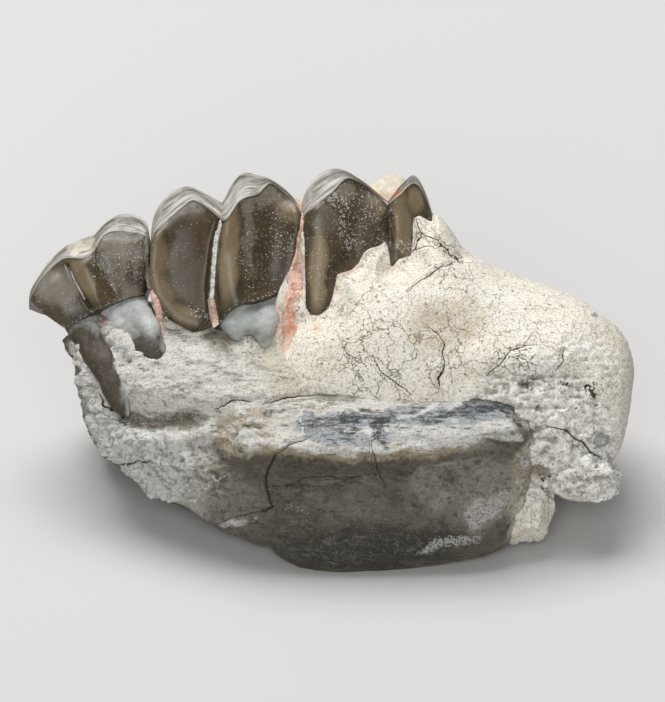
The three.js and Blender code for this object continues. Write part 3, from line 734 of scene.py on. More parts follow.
def fossilBone(tree):
    # bone turned to stone: dense and smooth like old horn where the skin of the bone is whole, so
    # it shines a little, and chalky where it is weathered; its fibres show as fine streaks, drawn
    # a few times coarser than the real ones of about a tenth of a millimetre
    look = boneLook
    place = addNode(tree, "TexCoord", out="Object")
    lengthwise = addNode(tree, "Mapping", {"Scale": (0.2, 0.7, 1.0)}, {"Vector": place})
    mottle, spot, fibre, fine = [
        addNode(tree, "TexNoise", {"Scale": perMetre(look[name]), "Detail": octaves, "Roughness": 0.68},
                {"Vector": at})
        for name, octaves, at in (("mottleSize", 6.0, place), ("patchSize", 5.0, place),
                                  ("fibreSize", 5.0, lengthwise), ("fineSize", 4.0, place))]
    masks = {name: addNode(tree, "Attribute", {"attribute_name": name}, out="Fac")
             for name in ("pale", "low", "middle", "tan", "stain", "bluish", "fleck", "hollow", "cream",
                          "vein", "brown", "crustAndHighlight", "pink", "crackSide", "crackNear")}
    blend = addNode(tree, "Math", {"operation": "MULTIPLY_ADD", 1: 0.8, 2: -1.3}, {0: spot})
    for source, share in ((mottle, 1.2), (fibre, 0.6)):
        blend = addNode(tree, "Math", {"operation": "MULTIPLY_ADD", 1: share}, {0: source, 2: blend})
    torn = {name: addNode(tree, "Math", {"operation": "ADD"}, {0: masks[name], 1: blend})
            for name in ("pale", "low", "middle", "tan", "cream", "bluish", "stain", "brown", "crustAndHighlight",
                         "pink")}
    streak = addNode(tree, "Math", {"operation": "MULTIPLY_ADD", 1: 3.0, 2: -1.5}, {0: fibre})
    streak = addNode(tree, "Math", {"operation": "MULTIPLY_ADD", 1: 0.8}, {0: fine, 2: streak})
    streak = addNode(tree, "Math", {"operation": "ADD"}, {0: streak, 1: torn["stain"]})
    chalk, grains = [addNode(tree, "Math", {"operation": "MULTIPLY_ADD", 1: -1.0, 2: 1.0}, {0: source})
                     for source in (fibre, fine)]
    # chalk and grains gather on pale bone, and the dark mottling keeps to the bone's dark skin
    chalk, grains, dim, spotHigh, spotLow = [
        addNode(tree, "Math", {"operation": "MULTIPLY_ADD", 1: share}, {0: masks["pale"], 2: source})
        for source, share in ((chalk, 0.25), (grains, 0.25), (blend, 0.3), (spot, -0.08), (spot, 0.08))]
    streaks = addNode(tree, "Math", {"operation": "MULTIPLY_ADD", 1: -0.5}, {0: masks["pale"], 2: chalk})
    flecks = addNode(tree, "Math", {"operation": "MULTIPLY_ADD", 1: 0.35}, {0: masks["fleck"], 2: fine})
    cracks = crackShareFrom(tree, masks, fine)
    layers = (("light", torn["pale"], 0.15, 0.85, 1.0), ("white", torn["pale"], 1.0, 1.5, 0.7),
              # the low layer is painted shade
              ("low", torn["low"], 0.2, 1.1, 0.95), ("middle", torn["middle"], 0.1, 1.3, 0.9),
              ("darker", dim, 0.1, -0.25, 0.6), ("middle", blend, 0.12, 0.4, 0.35),
              ("brown", spotHigh, 0.53, 0.6, 0.5), ("darker", spotLow, 0.46, 0.38, 0.55),
              # the brown strokes are partly the bone's own brown and partly painted shade
              ("brown", torn["brown"], 0.2, 1.2, 0.85), ("tan", torn["tan"], 0.4, 0.9, 0.75),
              ("cream", torn["cream"], 0.35, 0.8, 0.9), ("bluish", torn["bluish"], 0.35, 0.8, 0.75),
              # whitish is partly pale crust and partly painted highlights
              ("white", torn["crustAndHighlight"], 0.35, 0.8, 0.9), ("pink", torn["pink"], 0.4, 0.9, 0.8),
              # the hollow layer is painted shade in sunk places
              ("stain", streak, 0.85, 1.6, 0.95), ("hollow", masks["hollow"], 0.0, 1.0, 0.9),
              ("middle", streaks, 0.56, 0.72, 0.45), ("darker", fibre, 0.54, 0.65, 0.55),
              ("fleck", flecks, 0.81, 0.91, 0.85), ("white", chalk, 0.81, 0.97, 0.35),
              ("darker", fine, 0.55, 0.66, 0.65), ("white", grains, 0.82, 0.92, 0.5),
              ("vein", masks["vein"], 0.2, 0.8, 0.9), ("crack", cracks, 0.0, 1.0, 1.0))
    colour = paintLayers(tree, look, "dark", layers)
    height = addNode(tree, "Math", {"operation": "SUBTRACT"}, {0: fibre, 1: cracks})
    for source, share in ((spot, 1.5), (fine, 0.6)):
        height = addNode(tree, "Math", {"operation": "MULTIPLY_ADD", 1: share}, {0: source, 2: height})
    normal = addNode(tree, "Bump", {"Distance": look["bumpDepth"] / 1000}, {"Height": height})
    dull = addNode(tree, "MapRange", {"To Min": look["wholeRoughness"], "To Max": look["weatheredRoughness"]},
                   {"Value": torn["pale"]})
    return addNode(tree, "BsdfPrincipled", {"IOR": look["ior"]},
                   {"Base Color": colour, "Roughness": dull, "Normal": normal})


# The same for the enamel
enamelLook = {
    "dark": "#332919", "olive": "#554932", "amber": "#87775a", "grey": "#7d776c", "neck": "#c0c3c0",
    "brown": "#3a2e1a", "wornDark": "#6a6356", "wornLight": "#d2cfc8", "dentine": "#ded7c6",
    "line": "#332b1e", "seam": "#cfc8bd", "fleck": "#dcd8cf", "root": "#27231c",
    "blush": "#c98f7c", "aged": "#b3a789",
    "toneSize": 2.6, "cloudSize": 0.8, "fleckSize": 0.24, "dustSize": 0.36,
    "bumpDepth": 0.08, "ior": 1.5, "polishedRoughness": 0.4, "dullRoughness": 0.6,
}


def fossilEnamel(tree):
    # enamel turned to stone: dark olive brown, clear in its outer skin, so it takes a hard polish
    # and glows amber where it is thin; scratches and stuck silt show as pale flecks
    look = enamelLook
    place = addNode(tree, "TexCoord", out="Object")
    tone, cloud, dust = [
        addNode(tree, "TexNoise", {"Scale": perMetre(look[name]), "Detail": 5.0, "Roughness": roughness},
                {"Vector": place})
        for name, roughness in (("toneSize", 0.6), ("cloudSize", 0.65), ("dustSize", 0.8))]
    masks = {name: addNode(tree, "Attribute", {"attribute_name": name}, out="Fac")
             for name in ("amber", "grey", "brown", "neck", "worn", "dentine", "edge", "seam", "fleck",
                          "root", "blush", "bandAcross", "bandAlong")}
    blend = addNode(tree, "Math", {"operation": "ADD"}, {0: tone, 1: cloud})
    torn = {name: addNode(tree, "Math", {"operation": "MULTIPLY_ADD", 1: share}, {0: blend, 2: masks[name]})
            for name, share in (("amber", 0.2), ("grey", 0.4), ("brown", 0.4), ("neck", 0.35),
                                ("seam", 0.6), ("edge", 0.6))}
    band = addNode(tree, "CombineXYZ", None, {0: masks["bandAlong"], 1: masks["bandAcross"]})
    band = addNode(tree, "Mapping", {"Scale": (0.35, 7.0, 1.0)}, {"Vector": band})
    stripes = addNode(tree, "TexNoise", {"Scale": 1.0, "Detail": 5.0, "Roughness": 0.75}, {"Vector": band})
    bright = addNode(tree, "Math", {"operation": "MULTIPLY"}, {0: stripes, 1: masks["worn"]})
    aged = addNode(tree, "Math", {"operation": "MULTIPLY"}, {0: cloud, 1: masks["dentine"]})
    fleckScale = perMetre(look["fleckSize"])
    chance, far = [addNode(tree, "TexVoronoi", {"Scale": fleckScale}, {"Vector": place}, out=out)
                   for out in ("Color", "Distance")]
    chance = addNode(tree, "Math", {"operation": "ADD"}, {0: chance, 1: masks["fleck"]})
    radius = addNode(tree, "MapRange", {"From Min": 0.5, "From Max": 1.9, "To Max": 0.42},
                     {"Value": chance})
    dots = addNode(tree, "Math", {"operation": "SUBTRACT"}, {0: radius, 1: far})
    dusty = addNode(tree, "Math", {"operation": "MULTIPLY_ADD", 1: 0.3}, {0: masks["fleck"], 2: dust})
    stuck = addNode(tree, "MapRange", {"From Min": 0.77, "From Max": 0.88}, {"Value": dusty})
    layers = (("olive", tone, 0.35, 0.65, 1.0), ("dark", cloud, 0.5, 0.68, 0.5),
              ("root", masks["root"], 0.0, 1.0, 0.85), ("amber", torn["amber"], 0.25, 1.2, 0.85),
              # the grey layer is partly dust and partly painted sheen and glints; the brown layer partly
              # painted shade
              ("grey", torn["grey"], 0.5, 1.35, 0.9), ("brown", torn["brown"], 0.45, 1.3, 0.85),
              # the neck layer on the roots is partly a painted highlight
              ("neck", torn["neck"], 0.5, 1.15, 0.85), ("wornDark", masks["worn"], 0.0, 1.0, 0.95),
              ("wornLight", bright, 0.4, 0.62, 0.9), ("dentine", masks["dentine"], 0.0, 1.0, 0.9),
              ("blush", masks["blush"], 0.2, 1.0, 0.8), ("aged", aged, 0.35, 0.6, 0.6),
              ("line", torn["edge"], 1.0, 1.3, 0.9), ("seam", torn["seam"], 1.0, 1.2, 0.9),
              ("fleck", dots, 0.0, 0.05, 0.8), ("fleck", stuck, 0.0, 1.0, 0.75))
    colour = paintLayers(tree, look, "dark", layers)
    height = addNode(tree, "Math", {"operation": "MULTIPLY_ADD", 1: 0.5}, {0: cloud, 2: stuck})
    height = addNode(tree, "Math", {"operation": "ADD"}, {0: height, 1: bright})
    normal = addNode(tree, "Bump", {"Strength": 0.5, "Distance": look["bumpDepth"] / 1000},
                     {"Height": height})
    dull = masks["worn"]
    for other in (masks["dentine"], masks["neck"], stuck, masks["root"]):
        dull = addNode(tree, "Math", {"operation": "MAXIMUM"}, {0: dull, 1: other})
    dull = addNode(tree, "MapRange", {"To Min": look["polishedRoughness"], "To Max": look["dullRoughness"]},
                   {"Value": dull})
    return addNode(tree, "BsdfPrincipled", {"IOR": look["ior"]},
                   {"Base Color": colour, "Roughness": dull, "Normal": normal})


# Colours of the cheek side, each [x, z, radius x, radius z, turn, strength]
enamelPatches = {
    "amber": [[-28.4, 33.6, 1, 2.8, 28, 0.8], [-20.2, 36.8, 1.4, 3, 5, 0.7], [-19.8, 32.6, 1.4, 3.2, 25, 0.6],
              [-17, 29.6, 2.6, 1.2, -30, 0.6], [-11.6, 36.6, 1.2, 5.6, -3, 1.2],
              [-4.6, 41.4, 2, 1.2, -35, 0.6], [-1.4, 34.6, 1.1, 5.4, -3, 1.1], [8.4, 39.8, 1.2, 3.4, 0, 0.9],
              [9.9, 43, 1.1, 1.6, 10, 0.9], [5.2, 42.2, 1.6, 0.9, -40, 0.4]],
    # grey: partly dust, partly a painted sheen on the upper crowns and painted glints along ridges, as the
    # narrow one on the second molar's ridge
    "grey": [[-31.8, 32.8, 2.6, 3, 20, 0.7], [-24.2, 37, 3.4, 2, -10, 0.75], [-26.2, 34.6, 0.7, 3, 35, 0.6],
             [-16.4, 42, 1.6, 1, 0, 0.5], [-9.2, 39.6, 0.9, 5.6, 0, 0.55],
             [-7.4, 43.6, 1.4, 1.6, 0, 0.6], [1.6, 44, 1.2, 1.8, -20, 0.6], [-0.6, 40.6, 1.4, 1.6, 0, 0.4]],
    # brown: partly the enamel's own darker brown, partly painted shade on the hollow faces and grooves of the
    # lobes
    "brown": [[-16.2, 36.4, 2.2, 5.4, 0, 0.9], [-6, 37.4, 2.6, 4.4, 10, 0.9], [-14.6, 32.8, 1.6, 3.6, 0, 0.7],
              [3.6, 39.6, 2.4, 3.6, 10, 0.8], [7.4, 37.4, 0.7, 1.6, 0, 0.8]],
    "fleck": [[-24, 36, 5, 5, 0, 0.6], [-31.6, 32.4, 3.6, 4, 0, 0.45], [-16.6, 35.6, 5, 8, 0, 0.3],
              [-6.6, 38.6, 5, 7.4, 0, 0.55], [-8.8, 36, 1.8, 6, 0, 0.65], [-4.8, 37.6, 2, 2.4, 0, 0.7],
              [3.4, 40.6, 5, 6, 0, 0.65], [-1, 36.4, 2.6, 7, 0, 0.5], [2, 39, 1.2, 4, 20, 0.85],
              [0.4, 42.6, 2, 1, -20, 0.9], [9, 37, 1.2, 1.6, 0, 0.9], [12, 41.6, 0.8, 1.8, 0, 1],
              # the last fleck patch and the narrow grey patch at x -26.2 draw a painted highlight line along
              # the first molar's rib
              [-15, 29.6, 2, 1, 0, 0.8], [-26.8, 34.4, 0.8, 3, 30, 0.7]],
}
# The same on the worn faces of the crowns
wornPatches = {
    "blush": [[6.4, 43.6, 2.4, 0.8, 0, 1], [-4, 42.6, 1, 0.8, 0, 1]],
    "dentine": [[-28.7, 37.2, 1.7, 0.8, 14, 0.9]],
}
# Matrix left in the grooves of the cheek side, as [half width, path of x and z]
enamelSeams = [
    [0.28, [[-12.6, 40.4], [-13.1, 38.2], [-13.4, 36], [-13.6, 33.6], [-13.7, 31.4]]],
    [0.5, [[-13.7, 31.2], [-13.4, 29.4], [-13.2, 28.4]]],
    [0.12, [[-29.9, 34.6], [-29.5, 33.4], [-28.9, 32.4], [-28.4, 31.4]]],
    [0.16, [[-21, 38.4], [-21.1, 36], [-21, 33.6]]],
]


def buildMolars(material):
    # the molars, with a fine swell of noise on their skin; span counts the twelve parts of each ring:
    # the cheek side up to 4, the worn band to 6, the basin to 8; gives the depth of the cheek sides,
    # which the matrix is fitted to
    walls = []
    way = np.repeat(ringPlaces(crowns), crowns["sides"])
    span = np.tile(12 * np.arange(crowns["sides"]) / crowns["sides"], crowns["rings"] - 1)
    cheek = smoothStep(4.1, 3.8, span)
    worn = smoothStep(3.9, 4.05, span) * smoothStep(6.6, 6.2, span)
    for name, tooth in molars.items():
        points, faces = skin(crowns, lambda a, q: crownSurface(tooth, a, q))
        skirt = points[1:-1]
        smooth, torn = ragged(skirt, 0.5, 2, 91), ragged(skirt, 1.6, 2, 91)
        masks = {key: patches(*(smooth if key == "amber" else torn), spots) * cheek
                 for key, spots in enamelPatches.items()}
        masks["fleck"] = np.maximum(masks["fleck"], cheek * smoothStep(0.5, 0, span) * 0.8)
        masks["blush"] = (1 - cheek) * patches(*torn, wornPatches["blush"])
        masks["seam"] = cheek * np.max([bell(lineDistance(skirt[:, 0], skirt[:, 2], path)[0] / half)
                                        for half, path in enamelSeams], 0)
        masks["worn"] = worn
        masks["dentine"] = smoothStep(6.1, 6.5, span) * smoothStep(8.6, 8.2, span)
        masks["dentine"] += worn * patches(*torn, wornPatches["dentine"])
        masks["edge"] = bell((span - 3.9) / 0.09) * 0.8
        masks["bandAcross"] = np.clip((span - 4) / 2, 0, 3)
        masks["bandAlong"] = way * 15
        masks = {key: np.concatenate([values[:1], values, values[-1:]]) for key, values in masks.items()}
        swell = 0.05 * fractal(points, 1.6, 3, 3) + 0.1 * noise(points, 5, 9)
        points = points + normalsOf(points, asQuads(faces)) * swell[:, None]
        walls.append(points[1:-1][(span > 0.3) & (span < 6)])
        addPiece(tooth["piece"], points, faces, masks, material, [name])
    return frontOf(walls)


def buildRoots(material):
    # the roots and necks, bumpy by noise, paler where they are high, and painted paler where they face right:
    # a painted highlight
    for name, root in roots.items():
        points, faces = tube(root["path"])
        normals = normalsOf(points, asQuads(faces))
        points = points + normals * (0.34 * fractal(points, 2.6, 5, 51, 0.6))[:, None]
        height = points[:, 2] - root["neckFrom"]
        top = smoothStep(-1.4, 1.4, height + 1.6 * fractal(points, 2.2, 4, 61))
        rightHighlight = smoothStep(0, 0.7, normals[:, 0] + 0.6 * fractal(points, 2.6, 4, 63))
        tone = 0.5 + 0.9 * fractal(points, 1.8, 4, 67)
        # the neck colour: the necks' own pale colour at the top, and a painted highlight on the side facing
        # right
        pale = np.maximum(0.75 * top, 0.6 * rightHighlight) * (0.6 + 0.5 * tone)
        brown = 0.75 - 0.5 * top - 0.5 * fractal(points, 1.2, 3, 69)
        masks = {"neck": np.clip(pale, 0, 1), "grey": 0.3 * tone, "brown": brown,
                 "fleck": 0.15 + 0.3 * top, "root": np.ones(len(points))}
        addPiece(name, points, faces, masks, material, [])


# Strips of mineral in the folds between the teeth, by the mask that colours them and its strength,
# each along [x, z, radius] points. proud: how far they stand out from the teeth
mineralStrips = {
    "proud": 0.12, "strength": {"pink": 1, "rough": 1, "shadedPit": 0.8},
    "pink": [[[-3.2, 41.4, 0.16], [-3.2, 39.8, 0.3], [-3.4, 38, 0.42], [-3.8, 36.2, 0.6], [-4.4, 34.2, 0.9],
              [-5, 32, 1.1]],
             [[-13.7, 31.4, 0.3], [-13.6, 30.2, 0.4], [-13.5, 29.2, 0.5], [-13.4, 28.2, 0.4]],
             [[-20.6, 32.4, 0.3], [-19.9, 30.4, 0.45], [-19.3, 28.2, 0.45], [-18.9, 25.8, 0.3]]],
    "rough": [[[-19.2, 29.4, 0.15], [-18.4, 28.4, 0.28], [-17.2, 27.7, 0.32], [-15.9, 27.2, 0.3],
               [-14.8, 27.4, 0.15]],
              [[-12.55, 40.6, 0.16], [-13, 38.6, 0.3], [-13.3, 36.4, 0.34], [-13.45, 34, 0.3],
               [-13.7, 31.4, 0.4]]],
    # the pit strip is dark filling in the crack between the first and second molars, painted near-black for
    # the shade in that crack as well
    "shadedPit": [[[-21.3, 39.2, 0.2], [-21.3, 37, 0.3], [-21.2, 34.8, 0.35], [-20.7, 32.4, 0.4]]],
}


def buildStrips(material, teeth):
    # tubes that run along the skin of the teeth, shaken by fine noise
    shells, tints = [], []
    for tint in mineralStrips["strength"]:
        for path in mineralStrips[tint]:
            x, z, radius = np.array(path).T
            front = frontAt(teeth, x, z) - mineralStrips["proud"]
            shells.append(tube(np.stack([x, front, z, radius], 1)))
            tints += [tint] * len(shells[-1][0])
    points, faces = merge(shells)
    points = points + 0.2 * np.stack([fractal(points, 0.9, 3, seed) for seed in (81, 82, 83)], 1)
    masks = {tint: strength * (np.array(tints) == tint)
             for tint, strength in mineralStrips["strength"].items()}
    addPiece("mineralStrips", points, faces, masks, material, [])


# The bone: the bodies that its skin is drawn over, then what lies on its cheek side. The bed is a
# tube, and the others stand between a top and a bottom rail of [x, z] points, with the depths of
# front and back along them. lift: how far the underside rises towards the back, out of height;
# frontPower, power: how square the section is, where 2 is round; ends: how blunt the ends are
jawBone = {
    "maxilla": {
        "top": [[-30.6, 27.2], [-27.3, 29.2], [-22.8, 31.2], [-17.6, 30.2],
                [-12, 30.6], [-6.8, 28], [-1, 24.5], [6, 21]],
        "bottom": [[-30, 25.4], [-28.8, 20.2], [-27.2, 14.8], [-22.4, 9.9],
                   [-17.2, 6.2], [-11, 2.5], [-4.8, 0.8], [4, 3]],
        "front": [11, 10, 8.2, 5.8, 3.6, 2, 1.8, 4],
        "back": [20, 28, 32, 33.5, 33.5, 32, 29, 24],
        "lift": [2, 2, 1, 3, 9, 14, 16, 14], "height": 22, "frontPower": 1.9, "power": 3, "ends": 7,
        "rings": 90, "sides": 120,
    },
    "arch": {
        "top": [[-12.6, 18.6], [-9.2, 19.7], [-4.8, 20.2], [0, 20.7],
                [6, 20.5], [12.5, 20.4], [19.4, 20.5], [24.8, 18]],
        "bottom": [[-12.2, 13.2], [-9.4, 8], [-6, 2], [-0.8, 0],
                   [5.6, 0.1], [12.4, 0.9], [18.6, 2.2], [21.8, 3.6]],
        "front": [3, 1, 0.3, 0, 0, 0, 0.5, 3],
        # edge: the height of the shelf's edge between the rails; below, above: the section's points
        # as [depth from the front, share of the height under the edge or over it]
        "edge": [0.35, 0.58, 0.68, 0.69, 0.68, 0.72, 0.77, 0.9],
        "below": [[0, 1], [1, 0.85], [2, 0.6], [3.2, 0.25], [6, 0], [11, 0.2], [13, 0.8]],
        "above": [[12, 0.9], [8.4, 1], [5.4, 1], [2.2, 0.6]],
        "halfDepth": 7, "ends": 14, "rings": 110, "sides": 140,
    },
    # matrix between the first molar's roots, as [x, y of its front, z, radius]
    "bed": [[-28.6, 12.9, 30.4, 0.8], [-27.4, 12.2, 29, 1.3], [-26.2, 11, 27.4, 1.5],
            [-25, 9.8, 25.6, 1.6], [-23.6, 8.6, 23.6, 1.4]],
    # where bone and arch flow into each other, before y is blendDepth
    "blend": [[-11, 7, 6, 6, 0, 1], [-12.5, 13, 3, 5, 0, 0.8]], "blendDepth": 14, "blendRounds": 40,
    # [half width, depth, path of x and z]
    "cracks": [
        [0.16, 0.25, [[-2.5, 15.4], [-4.6, 14.6], [-6.1, 13.6], [-7.2, 12.1], [-7.4, 10.8], [-7.1, 8.7],
                      [-6.4, 7.7], [-7.9, 7], [-10.7, 6.4], [-13.8, 5.6], [-16.5, 5]]],
        [0.08, 0.12, [[-7.1, 9.8], [-4.3, 10.1], [-2.5, 11], [-0.5, 11.2], [3.9, 10.9]]],
        [0.07, 0.08, [[-3.4, 10.2], [-0.8, 10], [1.6, 10.6], [3, 10.4]]],
        [0.09, 0.14, [[4.7, 15.2], [5.4, 12.5], [5.3, 11.8], [5.9, 10.8], [6.4, 10]]],
        [0.1, 0.15, [[-13.3, 18.7], [-10.9, 19.9], [-9, 19.8]]],
        [0.12, 0.2, [[-7.6, 19.5], [-4.8, 20], [-3, 20.4], [0.6, 20.7]]],
        [0.12, 0.2, [[-25.2, 14.1], [-24.3, 12.5], [-22, 12.7], [-20.2, 13]]],
        [0.1, 0.12, [[-27, 20.5], [-25.6, 18.6], [-23.6, 16.8]]],
    ],
    "veins": [
        [[-15.6, 13.5], [-15.3, 14.6], [-15.1, 13.3]],
        [[-13.3, 11.3], [-12.8, 10.7], [-12.1, 10.9]],
        [[-14.8, 10.6], [-14.4, 9.8], [-13.9, 9.4], [-13.6, 10.2]],
        [[-17.1, 8.9], [-16.6, 8.4], [-15.8, 8.2], [-15, 8.7], [-15.3, 9.4]],
        [[-3.4, 18.9], [-3.3, 17], [-2.9, 15.6]],
        [[4.4, 16.6], [4.6, 15.6], [4.7, 14.6]],
    ],
    # [x, z, radius x, radius z, turn, strength]
    "patches": {
        "pale": [[-20, 22, 14, 7, -15, 1], [-22, 13, 10, 6, -35, 1.25], [-9, 17.4, 5, 4, 0, 0.95],
                 [5, 16.9, 19, 3.7, 2, 1], [18, 6.6, 4, 2, 25, 0.35], [22.7, 11.6, 1.5, 9, -14, 0.8],
                 [-6.6, 22.6, 7, 5, 0, 1]],
        "middle": [[-20, 17.5, 5, 1.4, -3, 1.3], [16.5, 10.4, 8, 4.4, 6, 1.4],
                   [-15, 9, 8, 5, -30, 1], [2, 8.6, 5, 3, 0, 0.3]],
        # low: painted shade, darker where the arch's face turns under, in the hollow band under the first
        # molar's roots and where the maxilla meets the arch
        "low": [[-19.4, 17.3, 4.4, 0.9, -2, 0.55], [4, 2.6, 14, 3.2, 3, 1.2],
                [-3, 5, 6, 2.6, 0, 0.6], [-10.4, 12, 1.6, 3, 10, 0.6]],
        "tan": [[-10, 16.2, 3.6, 2.6, 20, 1.1], [-5, 13.6, 5, 0.9, -8, 0.8], [5, 13.5, 13, 0.9, 3, 0.8],
                [22.4, 12.4, 1.5, 8, -14, 0.6], [-20, 19.2, 5, 1.4, -8, 0.25]],
        "cream": [[-6.4, 17.2, 2.2, 1.6, 0, 0.7], [-5, 23, 3.4, 5, 15, 1], [-25.6, 26, 1.6, 3.4, 25, 0.9]],
        "bluish": [[12, 17.8, 10, 2, 6, 1.1], [8, 15.2, 13, 0.9, 4, 0.7], [1, 17, 7, 2.2, 0, 1],
                   [-11, 23.5, 4, 2, 0, 0.4], [-17, 12, 6, 3, -30, 0.4]],
        "fleck": [[18.2, 7.2, 4.6, 1.8, 32, 1], [13.5, 3, 5.4, 1.2, 14, 1], [-4, 7.2, 2.6, 1.1, 0, 0.75],
                  [-17, 8.5, 5, 3, -30, 0.8], [-22, 13, 6, 3, -30, 0.8], [0, 5, 22, 6, 0, 0.65]],
        "pink": [[-26.4, 28.8, 0.9, 0.6, 30, 0.8], [-19.2, 27, 0.5, 1.6, 0, 0.6],
                 [-12.6, 28, 1.4, 0.5, -20, 0.5]],
    },
    # [half width, strength, path of x and z]
    "strokes": {
        "stain": [[1.2, 0.85, [[-2.9, 17.4], [0, 17], [2.3, 16.4]]],
                  [1, 1, [[1.8, 17.9], [4, 17.8], [6.2, 17.4]]],
                  [0.9, 1, [[5.4, 17.2], [5.6, 15.9], [6, 15]]],
                  [0.6, 0.8, [[6.4, 17.9], [9, 17.5], [12, 18]]],
                  [0.9, 0.9, [[10.5, 17.1], [13, 18.2], [16, 19]]],
                  [1.1, 1.1, [[15.6, 18.6], [18, 19.2], [20.8, 19.9]]],
                  [0.7, 0.9, [[19.6, 19.4], [20.8, 18.6], [21.4, 17.2]]],
                  [0.5, 0.6, [[-8, 18.4], [-4, 18.6]]], [0.5, 0.7, [[7, 19.1], [10, 19.3], [14, 19.8]]],
                  [0.4, 0.55, [[-1, 15.3], [3, 15.2]]], [0.4, 0.6, [[8, 16.3], [13, 16.6], [19, 17.2]]]],
        # whitish: pale crust, and painted highlights, as the stroke along the shelf's rim
        "crustAndHighlight": [[0.5, 0.9, [[1.3, 16.5], [4.8, 16.1]]],
                    [0.9, 0.8, [[6.6, 16.4], [12, 16.2], [20.6, 16.8]]],
                    [0.4, 0.8, [[7.6, 17.9], [11, 18.6], [15, 19.6]]],
                    [0.3, 0.7, [[-6, 19.2], [0, 19.6], [6, 19.2]]],
                    [0.5, 0.8, [[-6, 14.6], [2.3, 13.8], [9.8, 14.6], [17.3, 15.4], [22, 15.4]]],
                    [1.3, 0.9, [[-26, 14.6], [-22.6, 11.6], [-19.6, 9]]],
                    [1, 0.6, [[-24, 15.6], [-18.6, 15.4], [-14.4, 15]]],
                    [0.5, 0.6, [[-9, 6.2], [-12, 5.4], [-15, 5]]],
                    [0.8, 0.5, [[-17, 25.6], [-12, 24.6], [-8, 22]]]],
        # brown: partly brown streaks of the bone, partly painted shade under the shelf's rim, along the
        # hollow band under the first molar's roots and where the maxilla meets the arch
        "brown": [[0.6, 0.9, [[-10.2, 12.9], [-5.2, 12.4], [-1.4, 11.9], [2.3, 11.7], [5.8, 12.2],
                              [9.8, 12.6], [13.5, 13.2], [17.3, 13.6], [20.5, 13.6]]],
                  [1.3, 0.7, [[-6.4, 12.4], [-5, 11.4], [-2.6, 11]]],
                  [1, 1.1, [[-23.5, 17.6], [-20, 17.2], [-15, 17.6]]],
                  [1.4, 0.4, [[-25, 22], [-22, 20.6], [-18, 20]]],
                  [0.8, 0.7, [[-12.9, 14.6], [-11.2, 13], [-10.4, 11.6]]],
                  [0.6, 0.9, [[21.2, 16.8], [23.4, 15.6]]],
                  [1.8, 0.4, [[-16.6, 10.4], [-12, 8.8], [-8, 7.8]]],
                  [0.5, 0.6, [[-24.6, 15.4], [-20, 15], [-15.4, 15.4]]],
                  [0.5, 0.6, [[-22.6, 20.4], [-19, 21.4], [-15, 21.2]]],
                  [0.4, 0.6, [[-16.6, 24.2], [-13, 23.6], [-9, 21.4]]]],
    },
    # pits: small holes, cut in and painted darker as shade
    "pits": [[-23.8, 25, 0.5, 0.22, 10, 1], [-23.2, 24.5, 0.35, 0.18, -10, 1], [-19, 11, 0.3, 0.2, 0, 0.8],
             [-21.4, 14.6, 0.3, 0.2, 0, 0.8], [-25.4, 17, 0.4, 0.25, 30, 0.9]],
    # the way the wrinkles run, degrees from x
    "slant": -32,
    # noise of the surface: size in mm, octaves, seed, gain
    "noise": {"swell": [4, 4, 2, 0.6], "bumps": [(2.4, 1.9, 1.3), 5, 11, 0.66],
              "ridges": [(2.6, 1.5, 1.1), 4, 23, 0.62], "wrinkles": [(3, 1, 0.75), 3, 27, 0.6],
              "ripples": [(2.2, 1, 0.5), 4, 75, 0.7], "frontLumps": [2.4, 4, 71, 0.6]},
    # how outlines are torn: reach in mm, size in mm, seed
    "torn": {"cracks": [0.35, 1.8, 93], "veins": [0.5, 1.2, 93], "patches": [1.5, 2.6, 97],
             "strokes": [0.9, (2.4, 1.4, 1.1), 99]},
    # how rough the surface is: [x, z, radius x, radius z, turn, height in mm]
    "lumpy": [[-20, 13.5, 9, 3.6, -30, 1.3], [-27, 16, 3.4, 5, 30, 1.4], [-21, 9.6, 4, 2.4, -35, 1.5],
              [-9.5, 15.8, 3.2, 2.6, 0, 0.5], [-20, 21, 10, 5, -20, 0.24], [-14, 15, 5, 3, -20, 0.5],
              [-29, 22, 2, 5, 20, 0.9], [-6, 12, 6, 3, -10, 0.22], [-13, 5, 4, 2, -25, 0.3],
              [-14, 25, 6, 2.6, -20, 0.3], [-24.6, 27, 2, 3, 20, 0.6], [6, 8, 18, 9, 0, 0.16],
              [22.6, 12, 1.6, 8, -8, 0.3], [-9, 22, 8, 3, 0, 0.2], [8, 17.4, 17, 3, 3, 0.14],
              [6, 12, 17, 2.4, 3, 0.4], [-2, 11, 5, 3, -10, 0.5], [-5, 6, 6, 3, -20, 0.3]],
    # ridges (+) and hollows (-): [half width, height, path]
    "relief": [[1.7, -1.1, [[-24, 18.2], [-21, 17.4], [-17.5, 17.4], [-14.6, 17.8]]],
               [1, 0.5, [[-27.5, 15], [-24.6, 14], [-20, 15.2], [-15, 16.2]]],
               [1.2, -0.9, [[-14.4, 13.6], [-12.6, 15], [-11.9, 17.4]]],
               [0.7, 0.5, [[-23.6, 12.2], [-21, 12.4]]],
               [0.5, 0.45, [[-18.5, 28.2], [-17, 27.2], [-15.9, 26.7], [-14.6, 27], [-13.2, 27.6],
                            [-12, 27.2]]],
               [1.1, -0.5, [[-16.6, 25.4], [-13.4, 25.6], [-11, 24.4]]],
               [1.2, 0.7, [[-10.4, 17.6], [-9.6, 15.2]]],
               [0.9, 0.5, [[-12.6, 12], [-11.6, 9], [-12.4, 6.6]]],
               [1, -0.7, [[-27, 27.6], [-25.4, 26], [-23.6, 24]]],
               [0.6, -0.6, [[-27.4, 22], [-26, 20], [-24.8, 18]]],
               [0.5, -0.5, [[-21.6, 12.6], [-20, 11.4], [-18.6, 9.4]]],
